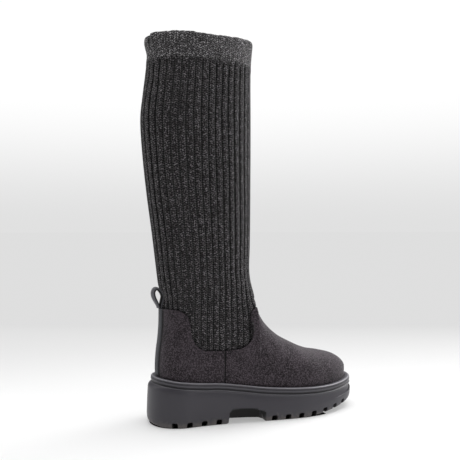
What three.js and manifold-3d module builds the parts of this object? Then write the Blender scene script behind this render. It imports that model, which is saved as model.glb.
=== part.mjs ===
// A knee-high sweater boot for the right foot: a felt foot on a moulded lug sole, with a ribbed knit
// shaft let into each side of the foot, a plain knitted cuff, a back stay strip and a pull loop.
//
// Millimetres. +X points to the toe, +Y to the inner (medial) side, +Z up. The floor is z = 0 and the
// origin is the middle of the heel's tread.
//
// One form carries the whole upper. Its side view is two curves, the back line and the front line, and
// every point between them has a half width: a plan of the foot rounded over to the front line below
// the ankle, and a flattened oval above it. Felt, knit, cuff, back stay and the sole's well are all
// taken from that form at different offsets, so they nest with small, even gaps.
import * as THREE from "three";
import { mergeVertices } from "three/addons/utils/BufferGeometryUtils.js";
import Module from "manifold-3d";

const wasm = await Module();
wasm.setup();

// Driving dimensions
const heelX = -27.6; // back of the felt at the sole
const toeX = 233; // tip of the felt
const ballX = 150; // where the foot plan starts to close towards the toe
const heelRadius = 30; // round end of the foot plan
const cuffTop = 470.5;
const cuffBottom = 441;
const gap = 0.3; // between pieces that touch
const feltWall = 2.5;
const knitWall = 3.2;
const ribDepth = 1.5;
const ribCount = 40;
const cuffWall = 4.2;
const cuffStep = 0.7; // the cuff stands this far out from the ribs
const cuffFlare = 2; // the collar opens inside its rolled edge
const stayWall = 1.3;
const stayHalf = 7.5;
const stayFoot = 58.9;
const stayTop = 139.2;
const wellDepth = 7; // how far the felt is let into the sole
const wellGap = 0.5; // the sole's facets and the felt's stay clear of each other all round
const insoleWall = 4;
const loopHalf = 4.2; // half the width of the pull loop's tape
const tapeWall = 1.5;
const lugPitch = 18.4; // at the heel; the forefoot's is a little shorter
const toeLugPitch = 17.9;
const lugGapWidth = 5.6;
const lugGapHeight = 5.2;
const lugGapDepth = 13;
const archFrom = 50; // front face of the heel block
const archTo = 97; // rear face of the forefoot
const channelDepth = 2.4;
const channelWidth = 6;

// Side view of the form, from the sole up: the back line and the front line
const backLine = [
  { x: -25.5, z: 20 },
  { x: -27.4, z: 52 },
  { x: -28.5, z: 66 },
  { x: -27.5, z: 85 },
  { x: -25, z: 105 },
  { x: -23.8, z: 125 },
  { x: -24.4, z: 150 },
  { x: -29, z: 190 },
  { x: -34, z: 230 },
  { x: -41, z: 280 },
  { x: -46, z: 330 },
  { x: -48, z: 370 },
  { x: -45, z: 400 },
  { x: -41.5, z: 430 },
  { x: -41.5, z: 455 },
  { x: -45, z: 480 },
];
const frontLine = [
  { x: 233, z: 20 },
  { x: 233, z: 44 },
  { x: 229, z: 57 },
  { x: 217, z: 66 },
  { x: 197, z: 71.8 },
  { x: 174, z: 77.2 },
  { x: 152, z: 86.4 },
  { x: 129, z: 98.8 },
  { x: 109, z: 117.5 },
  { x: 99.5, z: 135 },
  { x: 94, z: 147 },
  { x: 90.7, z: 168 },
  { x: 90.5, z: 190 },
  { x: 91.5, z: 220 },
  { x: 92, z: 270 },
  { x: 92, z: 320 },
  { x: 91.5, z: 370 },
  { x: 91.5, z: 420 },
  { x: 93, z: 455 },
  { x: 97, z: 480 },
];

// Foot plan: half width and how far its middle lies to the inner side
const footPlan = [
  { x: -33, half: 32, middle: 0 },
  { x: 0, half: 32, middle: 0 },
  { x: 35, half: 32.5, middle: -1.5 },
  { x: 70, half: 34, middle: -3.2 },
  { x: 105, half: 38.5, middle: -4.2 },
  { x: 140, half: 43, middle: -3.4 },
  { x: 165, half: 45, middle: -1.2 },
  { x: 190, half: 45, middle: 1.2 },
  { x: 210, half: 45, middle: 3 },
  { x: 233, half: 45, middle: 4 },
];

// Half width of the leg
const legPlan = [
  { z: 30, half: 32 },
  { z: 100, half: 33 },
  { z: 150, half: 35 },
  { z: 190, half: 37 },
  { z: 230, half: 38 },
  { z: 300, half: 41 },
  { z: 370, half: 43 },
  { z: 430, half: 41 },
  { z: 480, half: 40 },
];

// Sole along its length: top of the rim, underside, overhang of the rim and of the body past the felt
const soleLine = [
  { x: -45, rim: 58.5, under: 3.2, rimOut: 5.4, bodyOut: 9.6 },
  { x: -28, rim: 57, under: 0.6, rimOut: 5.4, bodyOut: 9.2 },
  { x: -10, rim: 54.5, under: 0, rimOut: 4.6, bodyOut: 7.2 },
  { x: 15, rim: 51.5, under: 0, rimOut: 4.2, bodyOut: 6.2 },
  { x: 45, rim: 49, under: 0, rimOut: 4.2, bodyOut: 5.8 },
  { x: 75, rim: 44.5, under: 0, rimOut: 4.2, bodyOut: 5.8 },
  { x: 100, rim: 41, under: 0, rimOut: 4.4, bodyOut: 6.2 },
  { x: 130, rim: 38.4, under: 0, rimOut: 4.6, bodyOut: 6.6 },
  { x: 155, rim: 37, under: 0.4, rimOut: 4.8, bodyOut: 6.8 },
  { x: 185, rim: 36, under: 2, rimOut: 5.2, bodyOut: 7.2 },
  { x: 212, rim: 37, under: 4.6, rimOut: 6.4, bodyOut: 8.2 },
  { x: 245, rim: 40, under: 9.5, rimOut: 7.6, bodyOut: 9.4 },
];

// Side of the sole from the tread up: height above the underside or the rim, and how far it stands out
// from the body's or the rim's overhang. A fine groove parts the body from the rim's bead.
const soleSide = [
  { from: "under", up: 0, line: "body", out: -4 },
  { from: "under", up: 1.2, line: "body", out: -1.9 },
  { from: "under", up: 4, line: "body", out: -0.5 },
  { from: "under", up: 12, line: "body", out: 0 },
  { from: "rim", up: -17, line: "body", out: -1 },
  { from: "rim", up: -8.4, line: "rim", out: 0.3 },
  { from: "rim", up: -7.6, line: "rim", out: -0.9 },
  { from: "rim", up: -6.4, line: "rim", out: -0.9 },
  { from: "rim", up: -5.6, line: "rim", out: 0 },
  { from: "rim", up: -1, line: "rim", out: -0.1 },
  { from: "rim", up: 0, line: "rim", out: -1.2 },
];

// Rows of gaps between the lugs, measured forward along each edge from a starting x
const lugRows = [
  { startX: -16.4, first: 0, pitch: lugPitch, count: 4 },
  { startX: archTo, first: 10.9, pitch: toeLugPitch, count: 7 },
];

// Top edge of the felt from the heel to the instep: level over the heel, down round the side gore, up
// to the peak
const topLine = [
  { x: -60, z: 139.5 },
  { x: -16, z: 139.5 },
  { x: -5, z: 136.8 },
  { x: 1.2, z: 131 },
  { x: 4, z: 122 },
  { x: 5.4, z: 111 },
  { x: 8.6, z: 101.5 },
  { x: 14, z: 94 },
  { x: 23, z: 89.8 },
  { x: 40, z: 88.6 },
  { x: 58, z: 88.4 },
  { x: 71, z: 91 },
  { x: 79.5, z: 97.5 },
  { x: 83, z: 107 },
  { x: 82, z: 117 },
  { x: 80.5, z: 127 },
  { x: 84, z: 135.5 },
  { x: 95, z: 139.5 },
  { x: 120, z: 141 },
];

// Knit shaft: its ribs' crests sink a little below the felt beside them at the ankle
const shaftLine = [
  { z: 80, sink: 0.9 },
  { z: 100, sink: 0.9 },
  { z: 120, sink: 0.9 },
  { z: 136, sink: 0.8 },
  { z: 150, sink: 0.1 },
  { z: 172, sink: 0 },
  { z: 205, sink: 0 },
  { z: 245, sink: 0 },
  { z: 290, sink: 0 },
  { z: 330, sink: 0 },
  { z: 365, sink: 0 },
  { z: 398, sink: 0 },
  { z: cuffBottom - gap, sink: 0 },
];

// Cuff: how far its outside stands out, with the edge rolled over at the top
const cuffLine = [
  { z: cuffBottom, out: -0.6 },
  { z: cuffBottom + 1.2, out: cuffStep },
  { z: cuffBottom + 15, out: cuffStep + 0.4 },
  { z: cuffTop - 2.2, out: cuffStep },
  { z: cuffTop - 0.6, out: -0.2 },
  { z: cuffTop, out: -1.4 },
];

// Middle line of the pull loop's tape: distance behind the back line, going up and down again
const loopLine = [
  { out: 1.1, z: 141.2 },
  { out: 1.2, z: 147 },
  { out: 1.3, z: 154 },
  { out: 2.2, z: 161.5 },
  { out: 6, z: 166 },
  { out: 10.4, z: 163.6 },
  { out: 12, z: 157 },
  { out: 10, z: 150.5 },
  { out: 6.2, z: 145 },
  { out: 2.9, z: 141.2 },
];

// Small maths
const clamp = THREE.MathUtils.clamp;
const smooth = (t) => THREE.MathUtils.smoothstep(t, 0, 1);
const stations = (from, to, count) =>
  Array.from({ length: count }, (_, i) => from + ((to - from) * i) / (count - 1));

// Column `to` as a function of column `by`, read off a fine sampling of a spline through the rows
const curve = (rows, by, to) => {
  const path = new THREE.SplineCurve(rows.map((row) => new THREE.Vector2(row[by], row[to])));
  const points = path.getPoints((rows.length - 1) * 16);
  return (value) => {
    const i = points.findIndex((point) => point.x >= value);
    if (i === 0) return points[0].y;
    if (i < 0) return points[points.length - 1].y;
    const [a, b] = [points[i - 1], points[i]];
    return THREE.MathUtils.mapLinear(value, a.x, b.x, a.y, b.y);
  };
};

// The form of the upper
const backAt = curve(backLine, "z", "x");
const frontAt = curve(frontLine, "z", "x");
const instepRows = frontLine.filter((row) => row.z > 40 && row.z < 195).reverse();
const instepAt = curve(instepRows, "x", "z");
const topAt = (x) => (x < instepRows[0].x ? Infinity : instepAt(x));
const planHalf = curve(footPlan, "x", "half");
const planMiddle = curve(footPlan, "x", "middle");
const legHalf = curve(legPlan, "z", "half");
const rimAt = curve(soleLine, "x", "rim");
const underCurve = curve(soleLine, "x", "under");
const underAt = (x) => Math.max(underCurve(x), 0);
const rimOutAt = curve(soleLine, "x", "rimOut");
const bodyOutAt = curve(soleLine, "x", "bodyOut");
const floorAt = (x) => rimAt(x) - wellDepth;
const keelAt = (x) => floorAt(x) - 8; // the form goes on below the well, where it is cut off

// Half width and middle of the foot plan, rounded off at heel and toe
const planAt = (x) => {
  const heelShare = clamp((heelX + heelRadius - x) / heelRadius, 0, 1);
  const toeShare = clamp((x - ballX) / (toeX - ballX), 0, 1);
  const rounding = Math.sqrt(1 - heelShare ** 2) * (1 - toeShare ** 2.3) ** (1 / 2.1);
  return { half: planHalf(x) * rounding, middle: planMiddle(x) };
};

// Half width and middle of the form at a point of its side view; the half width is negative outside it
const ankleLow = 105;
const ankleHigh = 190;
const widestLift = 18; // the foot is widest this far above the well
const ovalPower = 2.15;
const widthAt = (x, z) => {
  const [back, front] = [backAt(z), frontAt(z)];
  if (x < back || x > front || z < keelAt(x)) return { half: -1, middle: 0 };
  const plan = planAt(x - (back - heelX) * (1 - smooth((x - heelX) / 90)));
  const widest = floorAt(x) + widestLift;
  const roundness = 1.8 + 0.8 * smooth((x - 80) / 120);
  const up = clamp((z - widest) / (topAt(x) - widest), 0, 1);
  const tuck = clamp((widest - z) / widestLift, 0, 2);
  const foot = plan.half * Math.sqrt(1 - up ** roundness) * (1 - 0.06 * tuck ** 2);
  const across = Math.min(Math.abs((2 * x - back - front) / (front - back)), 1);
  const leg = legHalf(z) * (1 - across ** ovalPower) ** (1 / ovalPower);
  const legShare = smooth((z - ankleLow) / (ankleHigh - ankleLow));
  return { half: THREE.MathUtils.lerp(foot, leg, legShare), middle: plan.middle * (1 - legShare) };
};

// The point where a ray from inside leaves the form, found by halving
const surfaceFrom = (origin, direction) => {
  let [near, far] = [0, 420];
  for (let i = 0; i < 32; i++) {
    const trial = (near + far) / 2;
    const p = origin.clone().addScaledVector(direction, trial);
    const { half, middle } = widthAt(p.x, p.z);
    if (Math.abs(p.y - middle) < half) near = trial;
    else far = trial;
  }
  return origin.clone().addScaledVector(direction, near);
};

// A closed ring on the form at equal arc lengths, in the plane of `first` and the Y axis
const ringAround = (origin, first, count) => {
  const fine = 160;
  const points = stations(0, 2 * Math.PI, fine + 1).map((angle) => {
    const direction = first.clone().multiplyScalar(Math.cos(angle));
    direction.y -= Math.sin(angle);
    return surfaceFrom(origin, direction);
  });
  const length = [0];
  for (let i = 1; i <= fine; i++) length.push(length[i - 1] + points[i].distanceTo(points[i - 1]));
  return stations(0, length[fine], count + 1)
    .slice(0, count)
    .map((at) => {
      const i = Math.max(length.findIndex((l) => l >= at), 1);
      return points[i - 1].clone().lerp(points[i], (at - length[i - 1]) / (length[i] - length[i - 1]));
    });
};

// Solids
const solidOf = (geometry) => {
  const plain = new THREE.BufferGeometry();
  plain.setAttribute("position", geometry.getAttribute("position"));
  plain.setIndex(geometry.index);
  const merged = mergeVertices(plain, 1e-4);
  const mesh = new wasm.Mesh({
    numProp: 3,
    vertProperties: new Float32Array(merged.attributes.position.array),
    triVerts: new Uint32Array(merged.index.array),
  });
  return new wasm.Manifold(mesh);
};

// Triangles of the bands between rings of equal count
const bandsOf = (rings) => {
  const count = rings[0].length;
  const index = [];
  for (let r = 0; r + 1 < rings.length; r++) {
    for (let i = 0; i < count; i++) {
      const a = r * count + i;
      const b = r * count + ((i + 1) % count);
      index.push(a, b, a + count, b, b + count, a + count);
    }
  }
  return index;
};

const centreOf = (ring) => new THREE.Box3().setFromPoints(ring).getCenter(new THREE.Vector3());

// A closed skin over a stack of rings, with a fan over each end
const skinOf = (rings) => {
  const count = rings[0].length;
  const last = (rings.length - 1) * count;
  const points = [...rings.flat(), centreOf(rings[0]), centreOf(rings[rings.length - 1])];
  const index = bandsOf(rings);
  for (let i = 0; i < count; i++) {
    const next = (i + 1) % count;
    index.push(next, i, points.length - 2, last + i, last + next, points.length - 1);
  }
  const geometry = new THREE.BufferGeometry().setFromPoints(points);
  geometry.setIndex(index);
  const solid = solidOf(geometry);
  if (solid.volume() > 0) return solid;
  geometry.setIndex(index.reverse());
  return solidOf(geometry);
};

// An outline in the side view, [x, z], as a slab from y = low to y = high
const slab = (outline, low = -90, high = 90) => {
  const shape = new THREE.Shape(outline.map(([x, z]) => new THREE.Vector2(x, z)));
  const geometry = new THREE.ExtrudeGeometry(shape, { depth: high - low, bevelEnabled: false });
  return solidOf(geometry.rotateX(Math.PI / 2).translate(0, high, 0));
};

// An outline in plan, [x, y], as a block from z = low to z = high
const block = (outline, low, high) => {
  const shape = new THREE.Shape(outline.map(([x, y]) => new THREE.Vector2(x, y)));
  const geometry = new THREE.ExtrudeGeometry(shape, { depth: high - low, bevelEnabled: false });
  return solidOf(geometry.translate(0, 0, low));
};
const barOf = (x, halfX, halfY, low, high) =>
  block([[x - halfX, -halfY], [x + halfX, -halfY], [x + halfX, halfY], [x - halfX, halfY]], low, high);

// Foot form: upright rings from the toe to the ball, then a fan of planes about a point in front of the
// instep, which step along the underside to the heel and up the back
const fanX = 150;
const fanZ = 190;
const pointsAround = 30;
const footRings = (() => {
  const upright = new THREE.Vector3(0, 0, 1);
  const toe = stations(0.12, 1, 10).map((t) => {
    const x = toeX - (toeX - fanX) * (1 - Math.cos((Math.PI / 2) * t));
    return ringAround(new THREE.Vector3(x, planMiddle(x), floorAt(x) + 15), upright, pointsAround);
  });
  const fan = new THREE.Vector3(fanX, 0, fanZ);
  const underside = stations(130, -15, 9).map((x) => new THREE.Vector3(x, 0, keelAt(x)));
  const back = stations(44, 150, 8).map((z) => new THREE.Vector3(backAt(z), 0, z));
  const fanned = [...underside, ...back].map((foot) => {
    const up = fan.clone().sub(foot).normalize();
    const start = foot.clone().addScaledVector(up, 6).setY(planMiddle(foot.x));
    return ringAround(start.clone().lerp(surfaceFrom(start, up), 0.4), up, pointsAround);
  });
  return [...toe, ...fanned];
})();

// The foot form grown or shrunk along its own normals
const footForm = (distance) => {
  const last = footRings.length - 1;
  const tip = centreOf(footRings[0]);
  const moved = footRings.map((ring, r) => {
    const centre = centreOf(ring);
    return ring.map((p, i) => {
      const before = r > 0 ? footRings[r - 1][i] : tip;
      const along = footRings[Math.min(r + 1, last)][i].clone().sub(before);
      const around = ring[(i + 1) % pointsAround].clone().sub(ring[(i + pointsAround - 1) % pointsAround]);
      const normal = around.cross(along).normalize();
      if (normal.dot(p.clone().sub(centre)) < 0) normal.negate();
      return p.clone().addScaledVector(normal, distance);
    });
  });
  return skinOf(moved);
};

// Leg form: level rings. Above the ankle each rib keeps an equal share of the way round; below it the
// ribs run straight down.
const straightBelow = 172;
const legCentre = 33;
const legRing = (z, count) => {
  const centre = z < straightBelow ? legCentre : Math.min((backAt(z) + frontAt(z)) / 2, legCentre);
  const origin = new THREE.Vector3(centre, 0, z);
  if (z >= straightBelow) return ringAround(origin, new THREE.Vector3(-1, 0, 0), count);
  return legRing(straightBelow, count).map((p) =>
    surfaceFrom(origin, new THREE.Vector3(p.x - centre, p.y, 0).normalize()),
  );
};

// A skin over level rings, each point moved sideways by outAt(row, point number)
const legForm = (rows, count, outAt) => {
  const rings = rows.map((row) => {
    const ring = legRing(row.z, count);
    return ring.map((p, i) => {
      const around = ring[(i + 1) % count].clone().sub(ring[(i + count - 1) % count]);
      const outward = new THREE.Vector3(-around.y, around.x, 0).normalize();
      if (outward.dot(new THREE.Vector3(p.x - legCentre, p.y, 0)) < 0) outward.negate();
      return p.clone().addScaledVector(outward, outAt(row, i));
    });
  });
  return skinOf(rings);
};

// Felt foot: hollow, open underneath and along its top edge
const beyond = { back: -120, front: 320, below: -60, above: 620 }; // clear of the boot on every side
const aboveFloor = (lift) => {
  const line = stations(-70, 270, 18).map((x) => [x, floorAt(x) + lift]);
  const [start, end] = [line[0][1], line[line.length - 1][1]];
  const { back, front, above } = beyond;
  return slab([[back, start], ...line, [front, end], [front, above], [back, above]]);
};

// The top edge moved across its own direction, up for a positive distance
const topEdge = new THREE.SplineCurve(topLine.map((row) => new THREE.Vector2(row.x, row.z)));
const topEdgeMoved = (distance) => {
  const points = topEdge.getPoints((topLine.length - 1) * 3);
  return points.map((p, i) => {
    const before = points[Math.max(i - 1, 0)];
    const after = points[Math.min(i + 1, points.length - 1)];
    const across = after.clone().sub(before).normalize();
    return [p.x - across.y * distance, p.y + across.x * distance];
  });
};
const cutAtTopEdge = (distance, level) => {
  const line = topEdgeMoved(distance);
  const [start, end] = [line[0][1], line[line.length - 1][1]];
  const { back, front } = beyond;
  return slab([[back, level], [back, start], ...line, [front, end], [front, level]]);
};
const feltFoot = footForm(0)
  .subtract(footForm(-feltWall))
  .intersect(aboveFloor(gap))
  .intersect(cutAtTopEdge(-gap / 2, beyond.below));

// Knit shaft, let down into the side gores
const ribDepthAt = (i) => (i % 3 === 0 ? ribDepth : 0);
const ribbedForm = legForm(shaftLine, ribCount * 3, (row, i) => -row.sink - ribDepthAt(i));
const hollowRows = [{ z: 70 }, ...shaftLine.filter((_, i) => i > 2 && i % 2 === 1), { z: cuffBottom + 6 }];
const shaft = ribbedForm
  .subtract(legForm(hollowRows, 40, () => -knitWall))
  .intersect(cutAtTopEdge(gap / 2, beyond.above));

// Cuff
const collarRows = [
  { z: cuffBottom - 5, out: -cuffWall },
  { z: cuffBottom + 15, out: -cuffWall },
  { z: cuffTop - 2, out: -cuffWall },
  { z: cuffTop + 4, out: cuffFlare - cuffWall },
];
const cuff = legForm(cuffLine, 60, (row) => row.out).subtract(legForm(collarRows, 40, (row) => row.out));

// Back stay over the heel seam, from the sole's rim to the top edge
const stay = footForm(gap + stayWall)
  .subtract(footForm(gap))
  .intersect(barOf(-35, 25, stayHalf, stayFoot, stayTop));

// Sole: the foot plan as a closed outline with its outward directions, outer side first
const soleStations = 30;
const planOutline = (() => {
  const side = (sign) =>
    Array.from({ length: soleStations }, (_, i) => {
      const angle = (Math.PI * (i + 0.5)) / soleStations;
      const x = (heelX + toeX) / 2 - ((toeX - heelX) / 2) * Math.cos(angle);
      const { half, middle } = planAt(x);
      return new THREE.Vector2(x, middle + sign * half);
    });
  const points = [...side(-1), ...side(1).reverse()];
  return points.map((point, i) => {
    const before = points[(i + points.length - 1) % points.length];
    const after = points[(i + 1) % points.length];
    const along = after.clone().sub(before).normalize();
    return { point, out: new THREE.Vector2(along.y, -along.x) };
  });
})();
const soleRing = (row) =>
  planOutline.map(({ point, out }) => {
    const outset = (row.line === "body" ? bodyOutAt(point.x) : rimOutAt(point.x)) + row.out;
    const p = point.clone().addScaledVector(out, outset);
    return new THREE.Vector3(p.x, p.y, (row.from === "under" ? underAt(p.x) : rimAt(p.x)) + row.up);
  });

// Its top and underside go straight across from each outer point to the inner point beside it
const soleBody = (() => {
  const rings = soleSide.map(soleRing);
  const count = planOutline.length;
  const top = (rings.length - 1) * count;
  const index = bandsOf(rings);
  for (let i = 0; i + 1 < soleStations; i++) {
    const [a, b, c, d] = [i, i + 1, count - 2 - i, count - 1 - i];
    index.push(a, c, b, a, d, c, top + a, top + b, top + c, top + a, top + c, top + d);
  }
  const geometry = new THREE.BufferGeometry().setFromPoints(rings.flat());
  geometry.setIndex(index);
  return solidOf(geometry);
})();

// A gap between two lugs: an arched slot running in from the edge
const lugGap = (edge, along) => {
  const radius = lugGapWidth / 2;
  const arch = new THREE.Shape();
  arch.moveTo(-radius - 0.5, -12);
  arch.absarc(0, lugGapHeight - radius, radius, Math.PI, 0, true);
  arch.lineTo(radius + 0.5, -12);
  const options = { depth: lugGapDepth + 8, bevelEnabled: false, curveSegments: 4 };
  const up = new THREE.Vector3(0, 0, 1);
  const inward = along.clone().cross(up);
  if (inward.y * (edge.y - planMiddle(Math.min(edge.x, toeX))) > 0) inward.negate();
  const outward = inward.negate();
  const place = new THREE.Matrix4().makeBasis(up.clone().cross(outward), up, outward);
  place.setPosition(edge.x - outward.x * lugGapDepth, edge.y - outward.y * lugGapDepth, underAt(edge.x));
  return solidOf(new THREE.ExtrudeGeometry(arch, options).applyMatrix4(place));
};

// The place a given distance along one side of the edge, forward from a starting x
const placeAlong = (side, startX, distance) => {
  let left = distance;
  for (let i = 1; i < side.length; i++) {
    const b = side[i];
    if (b.x <= startX) continue;
    const a = side[i - 1].clone();
    if (a.x < startX) a.lerp(b, (startX - a.x) / (b.x - a.x));
    const length = a.distanceTo(b);
    const along = b.clone().sub(a).normalize();
    if (left <= length) return { edge: a.lerp(b, left / length), along };
    left -= length;
  }
  return null;
};
const edgeRing = soleRing({ ...soleSide[3], up: 0 });
const edgeSides = [edgeRing.slice(0, soleStations), edgeRing.slice(soleStations).reverse()];
const lugGaps = edgeSides.flatMap((side) =>
  lugRows.flatMap(({ startX, first, pitch, count }) =>
    stations(first, first + pitch * (count - 1), count).map((distance) => {
      const { edge, along } = placeAlong(side, startX, distance);
      return lugGap(edge, along.setZ(0).normalize());
    }),
  ),
);

// Arch: the edge is lifted clear of the floor, and a narrower waist stays under it
const archSide = [
  [archFrom, -5],
  [archTo, -5],
  [archTo - 0.5, 8.5],
  [82, 13],
  [66, 14.5],
  [archFrom + 5, 14],
  [archFrom + 1, 11],
];
const waistPlan = [
  [40, -18],
  [58, -20],
  [78, -25],
  [100, -33],
  [100, 22],
  [78, 15],
  [58, 13],
  [40, 14],
];
const archCut = slab(archSide).subtract(block(waistPlan, 0.9, 30));

// Channels across the middle of the tread leave bars between the lugs
const heelChannels = [14, 32].map((x) => barOf(x, channelWidth / 2, 14, -5, channelDepth));
const ballChannels = stations(112, 167.2, 4).map((x) => barOf(x, channelWidth / 2, 22, -5, channelDepth));

const well = footForm(wellGap).intersect(aboveFloor(0));
const cuts = [well, archCut, ...lugGaps, ...heelChannels, ...ballChannels];
const sole = cuts.reduce((solid, cut) => solid.subtract(cut), soleBody);

// Insole on the sole, inside the felt
const insoleSide = (lift) => stations(-60, 260, 17).map((x) => [x, floorAt(x) + lift]);
const insoleSlab = slab([...insoleSide(gap), ...insoleSide(gap + insoleWall).reverse()]);
const insole = footForm(-feltWall - gap).intersect(insoleSlab);

// Pull loop: a tape folded up the back of the shaft and down again, its ends sewn in over the back stay
const loop = (() => {
  const knots = loopLine.map((row) => new THREE.Vector2(backAt(row.z) - row.out, row.z));
  const middle = new THREE.SplineCurve(knots).getPoints(27);
  const side = (distance) =>
    middle.map((p, i) => {
      const before = middle[Math.max(i - 1, 0)];
      const after = middle[Math.min(i + 1, middle.length - 1)];
      const along = after.clone().sub(before).normalize();
      return [p.x - along.y * distance, p.y + along.x * distance];
    });
  const strip = slab([...side(tapeWall / 2), ...side(-tapeWall / 2).reverse()], -loopHalf, loopHalf);
  const front = middle[0].x + tapeWall / 2;
  const back = middle[middle.length - 1].x - tapeWall / 2;
  return strip.add(slab([[front, 139.6], [front, 142.4], [back, 142.4], [back, 139.6]], -loopHalf, loopHalf));
})();

// Assembly
const finish = (color, roughness) => new THREE.MeshStandardMaterial({ color, roughness, metalness: 0 });
const boot = new THREE.Group();
const addPiece = (name, solid, material) => {
  const { vertProperties, triVerts } = solid.getMesh();
  const geometry = new THREE.BufferGeometry();
  geometry.setAttribute("position", new THREE.BufferAttribute(new Float32Array(vertProperties), 3));
  geometry.setIndex(new THREE.BufferAttribute(new Uint32Array(triVerts), 1));
  geometry.computeVertexNormals();
  const mesh = new THREE.Mesh(geometry, material);
  mesh.name = name;
  boot.add(mesh);
};
addPiece("lug_sole", sole, finish(0x48474d, 0.62));
addPiece("insole", insole, finish(0x2c2b2d, 0.9));
addPiece("felt_foot", feltFoot, finish(0x3a3739, 0.95));
addPiece("knit_shaft", shaft, finish(0x39383a, 0.97));
addPiece("knit_cuff", cuff, finish(0x3c3b3d, 0.97));
addPiece("back_stay", stay, finish(0x4a4a4d, 0.85));
addPiece("pull_loop", loop, finish(0x464649, 0.85));

export default boot;
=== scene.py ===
import logging
import math
from dataclasses import dataclass, field
from enum import Enum
from typing import Callable, Sequence

import bpy
import numpy as np
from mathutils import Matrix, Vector


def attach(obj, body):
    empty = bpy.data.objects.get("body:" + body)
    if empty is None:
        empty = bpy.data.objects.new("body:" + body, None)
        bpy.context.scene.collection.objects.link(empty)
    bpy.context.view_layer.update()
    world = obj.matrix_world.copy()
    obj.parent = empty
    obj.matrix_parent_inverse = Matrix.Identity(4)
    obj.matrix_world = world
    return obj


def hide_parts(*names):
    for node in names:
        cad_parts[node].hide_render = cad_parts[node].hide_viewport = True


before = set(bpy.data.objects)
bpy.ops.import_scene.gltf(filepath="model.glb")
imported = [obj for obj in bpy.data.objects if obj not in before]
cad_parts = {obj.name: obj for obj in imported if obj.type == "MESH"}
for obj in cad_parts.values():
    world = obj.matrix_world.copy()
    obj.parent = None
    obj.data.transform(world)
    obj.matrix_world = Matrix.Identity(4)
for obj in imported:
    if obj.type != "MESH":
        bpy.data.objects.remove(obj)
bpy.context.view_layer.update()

log = logging.getLogger("sweater_boot")
Array = np.ndarray
Rows = Sequence[Sequence[float]]
Socket = bpy.types.NodeSocket
Piece = bpy.types.Object
MM = 0.001
# points that round to the same step are one point
WELD_STEPS_A_MM = 2000.0
# halvings that bring an interval of 400 mm down to a hundredth of a micrometre
HALVINGS = 26
# girth that the knit's cloth map is laid out by
GIRTH = 350.0


class Line(Enum):
    """Outline that a row of the sole's profile is measured from."""

    FELT = "felt"
    RIM = "rim"
    BODY = "body"


# small maths


def smooth(value: Array, low: float = 0.0, high: float = 1.0) -> Array:
    """Smoothstep between low and high: 3t^2 - 2t^3 of the clamped share t.

    Args:
        value: where to read it.
        low: where it is 0.
        high: where it is 1.

    Returns:
        The share, 0 to 1.
    """
    t = np.clip((np.asarray(value, float) - low) / (high - low), 0.0, 1.0)
    return t * t * (3.0 - 2.0 * t)


def bell(distance: Array, width: float) -> Array:
    """Soft bump exp(-(distance / width)^2)."""
    return np.exp(-np.square(np.asarray(distance, float) / width))


def unit(vectors: Array) -> Array:
    """The vectors at length 1."""
    return vectors / np.linalg.norm(vectors, axis=-1, keepdims=True)


def lengths(line: Array) -> Array:
    """Distance along a polyline, or along each of a stack of them, at each of its points.

    Args:
        line: (..., samples, coordinates).

    Returns:
        (..., samples), from 0.
    """
    step = np.linalg.norm(np.diff(line, axis=-2), axis=-1)
    start = np.zeros((*step.shape[:-1], 1))
    return np.concatenate([start, np.cumsum(step, axis=-1)], axis=-1)


def spline(rows: Rows, steps: int = 16) -> Array:
    """Catmull-Rom curve through rows: each span is the cubic whose end slopes are half the chord of the
    neighbouring rows, the first and last row standing for their missing neighbours.

    Args:
        rows: points, one a row.
        steps: samples a span.

    Returns:
        Points along the curve, ends included.
    """
    p = np.asarray(rows, float)
    padded = np.vstack([p[:1], p, p[-1:]])
    t = (np.arange(steps) / steps)[None, :, None]
    p0, p1, p2, p3 = (padded[i : i + len(p) - 1, None, :] for i in range(4))
    v0, v1 = (p2 - p0) / 2, (p3 - p1) / 2
    body = (2 * p1 - 2 * p2 + v0 + v1) * t**3 + (3 * p2 - 3 * p1 - 2 * v0 - v1) * t**2 + v0 * t + p1
    return np.vstack([body.reshape(-1, p.shape[1]), p[-1:]])


@dataclass(frozen=True)
class Curve:
    """One column of a table as a smooth function of another."""

    by: Array
    to: Array

    def __call__(self, value: Array) -> Array:
        """Read the curve by straight lines between its fine samples."""
        return np.interp(value, self.by, self.to)


def curve(rows: Rows, by: int, to: int) -> Curve:
    """Make column `to` a function of column `by`.

    Args:
        rows: the table, sorted by column `by`.
        by: column that is given.
        to: column that is wanted.

    Returns:
        The function.
    """
    points = spline([(row[by], row[to]) for row in rows])
    return Curve(points[:, 0], points[:, 1])


def spread(points: Array, share: Array) -> Array:
    """Points at given shares of the way along polylines, measured by arc length.

    Args:
        points: (lines, samples, values), the last axis beginning with the coordinates.
        share: (lines, wanted), 0 to 1.

    Returns:
        (lines, wanted, values).
    """
    made = [
        np.stack([np.interp(s * run[-1], run, line[:, k]) for k in range(line.shape[1])], axis=-1)
        for line, run, s in zip(points, lengths(points[..., :3]), share)
    ]
    return np.stack(made)


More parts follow.
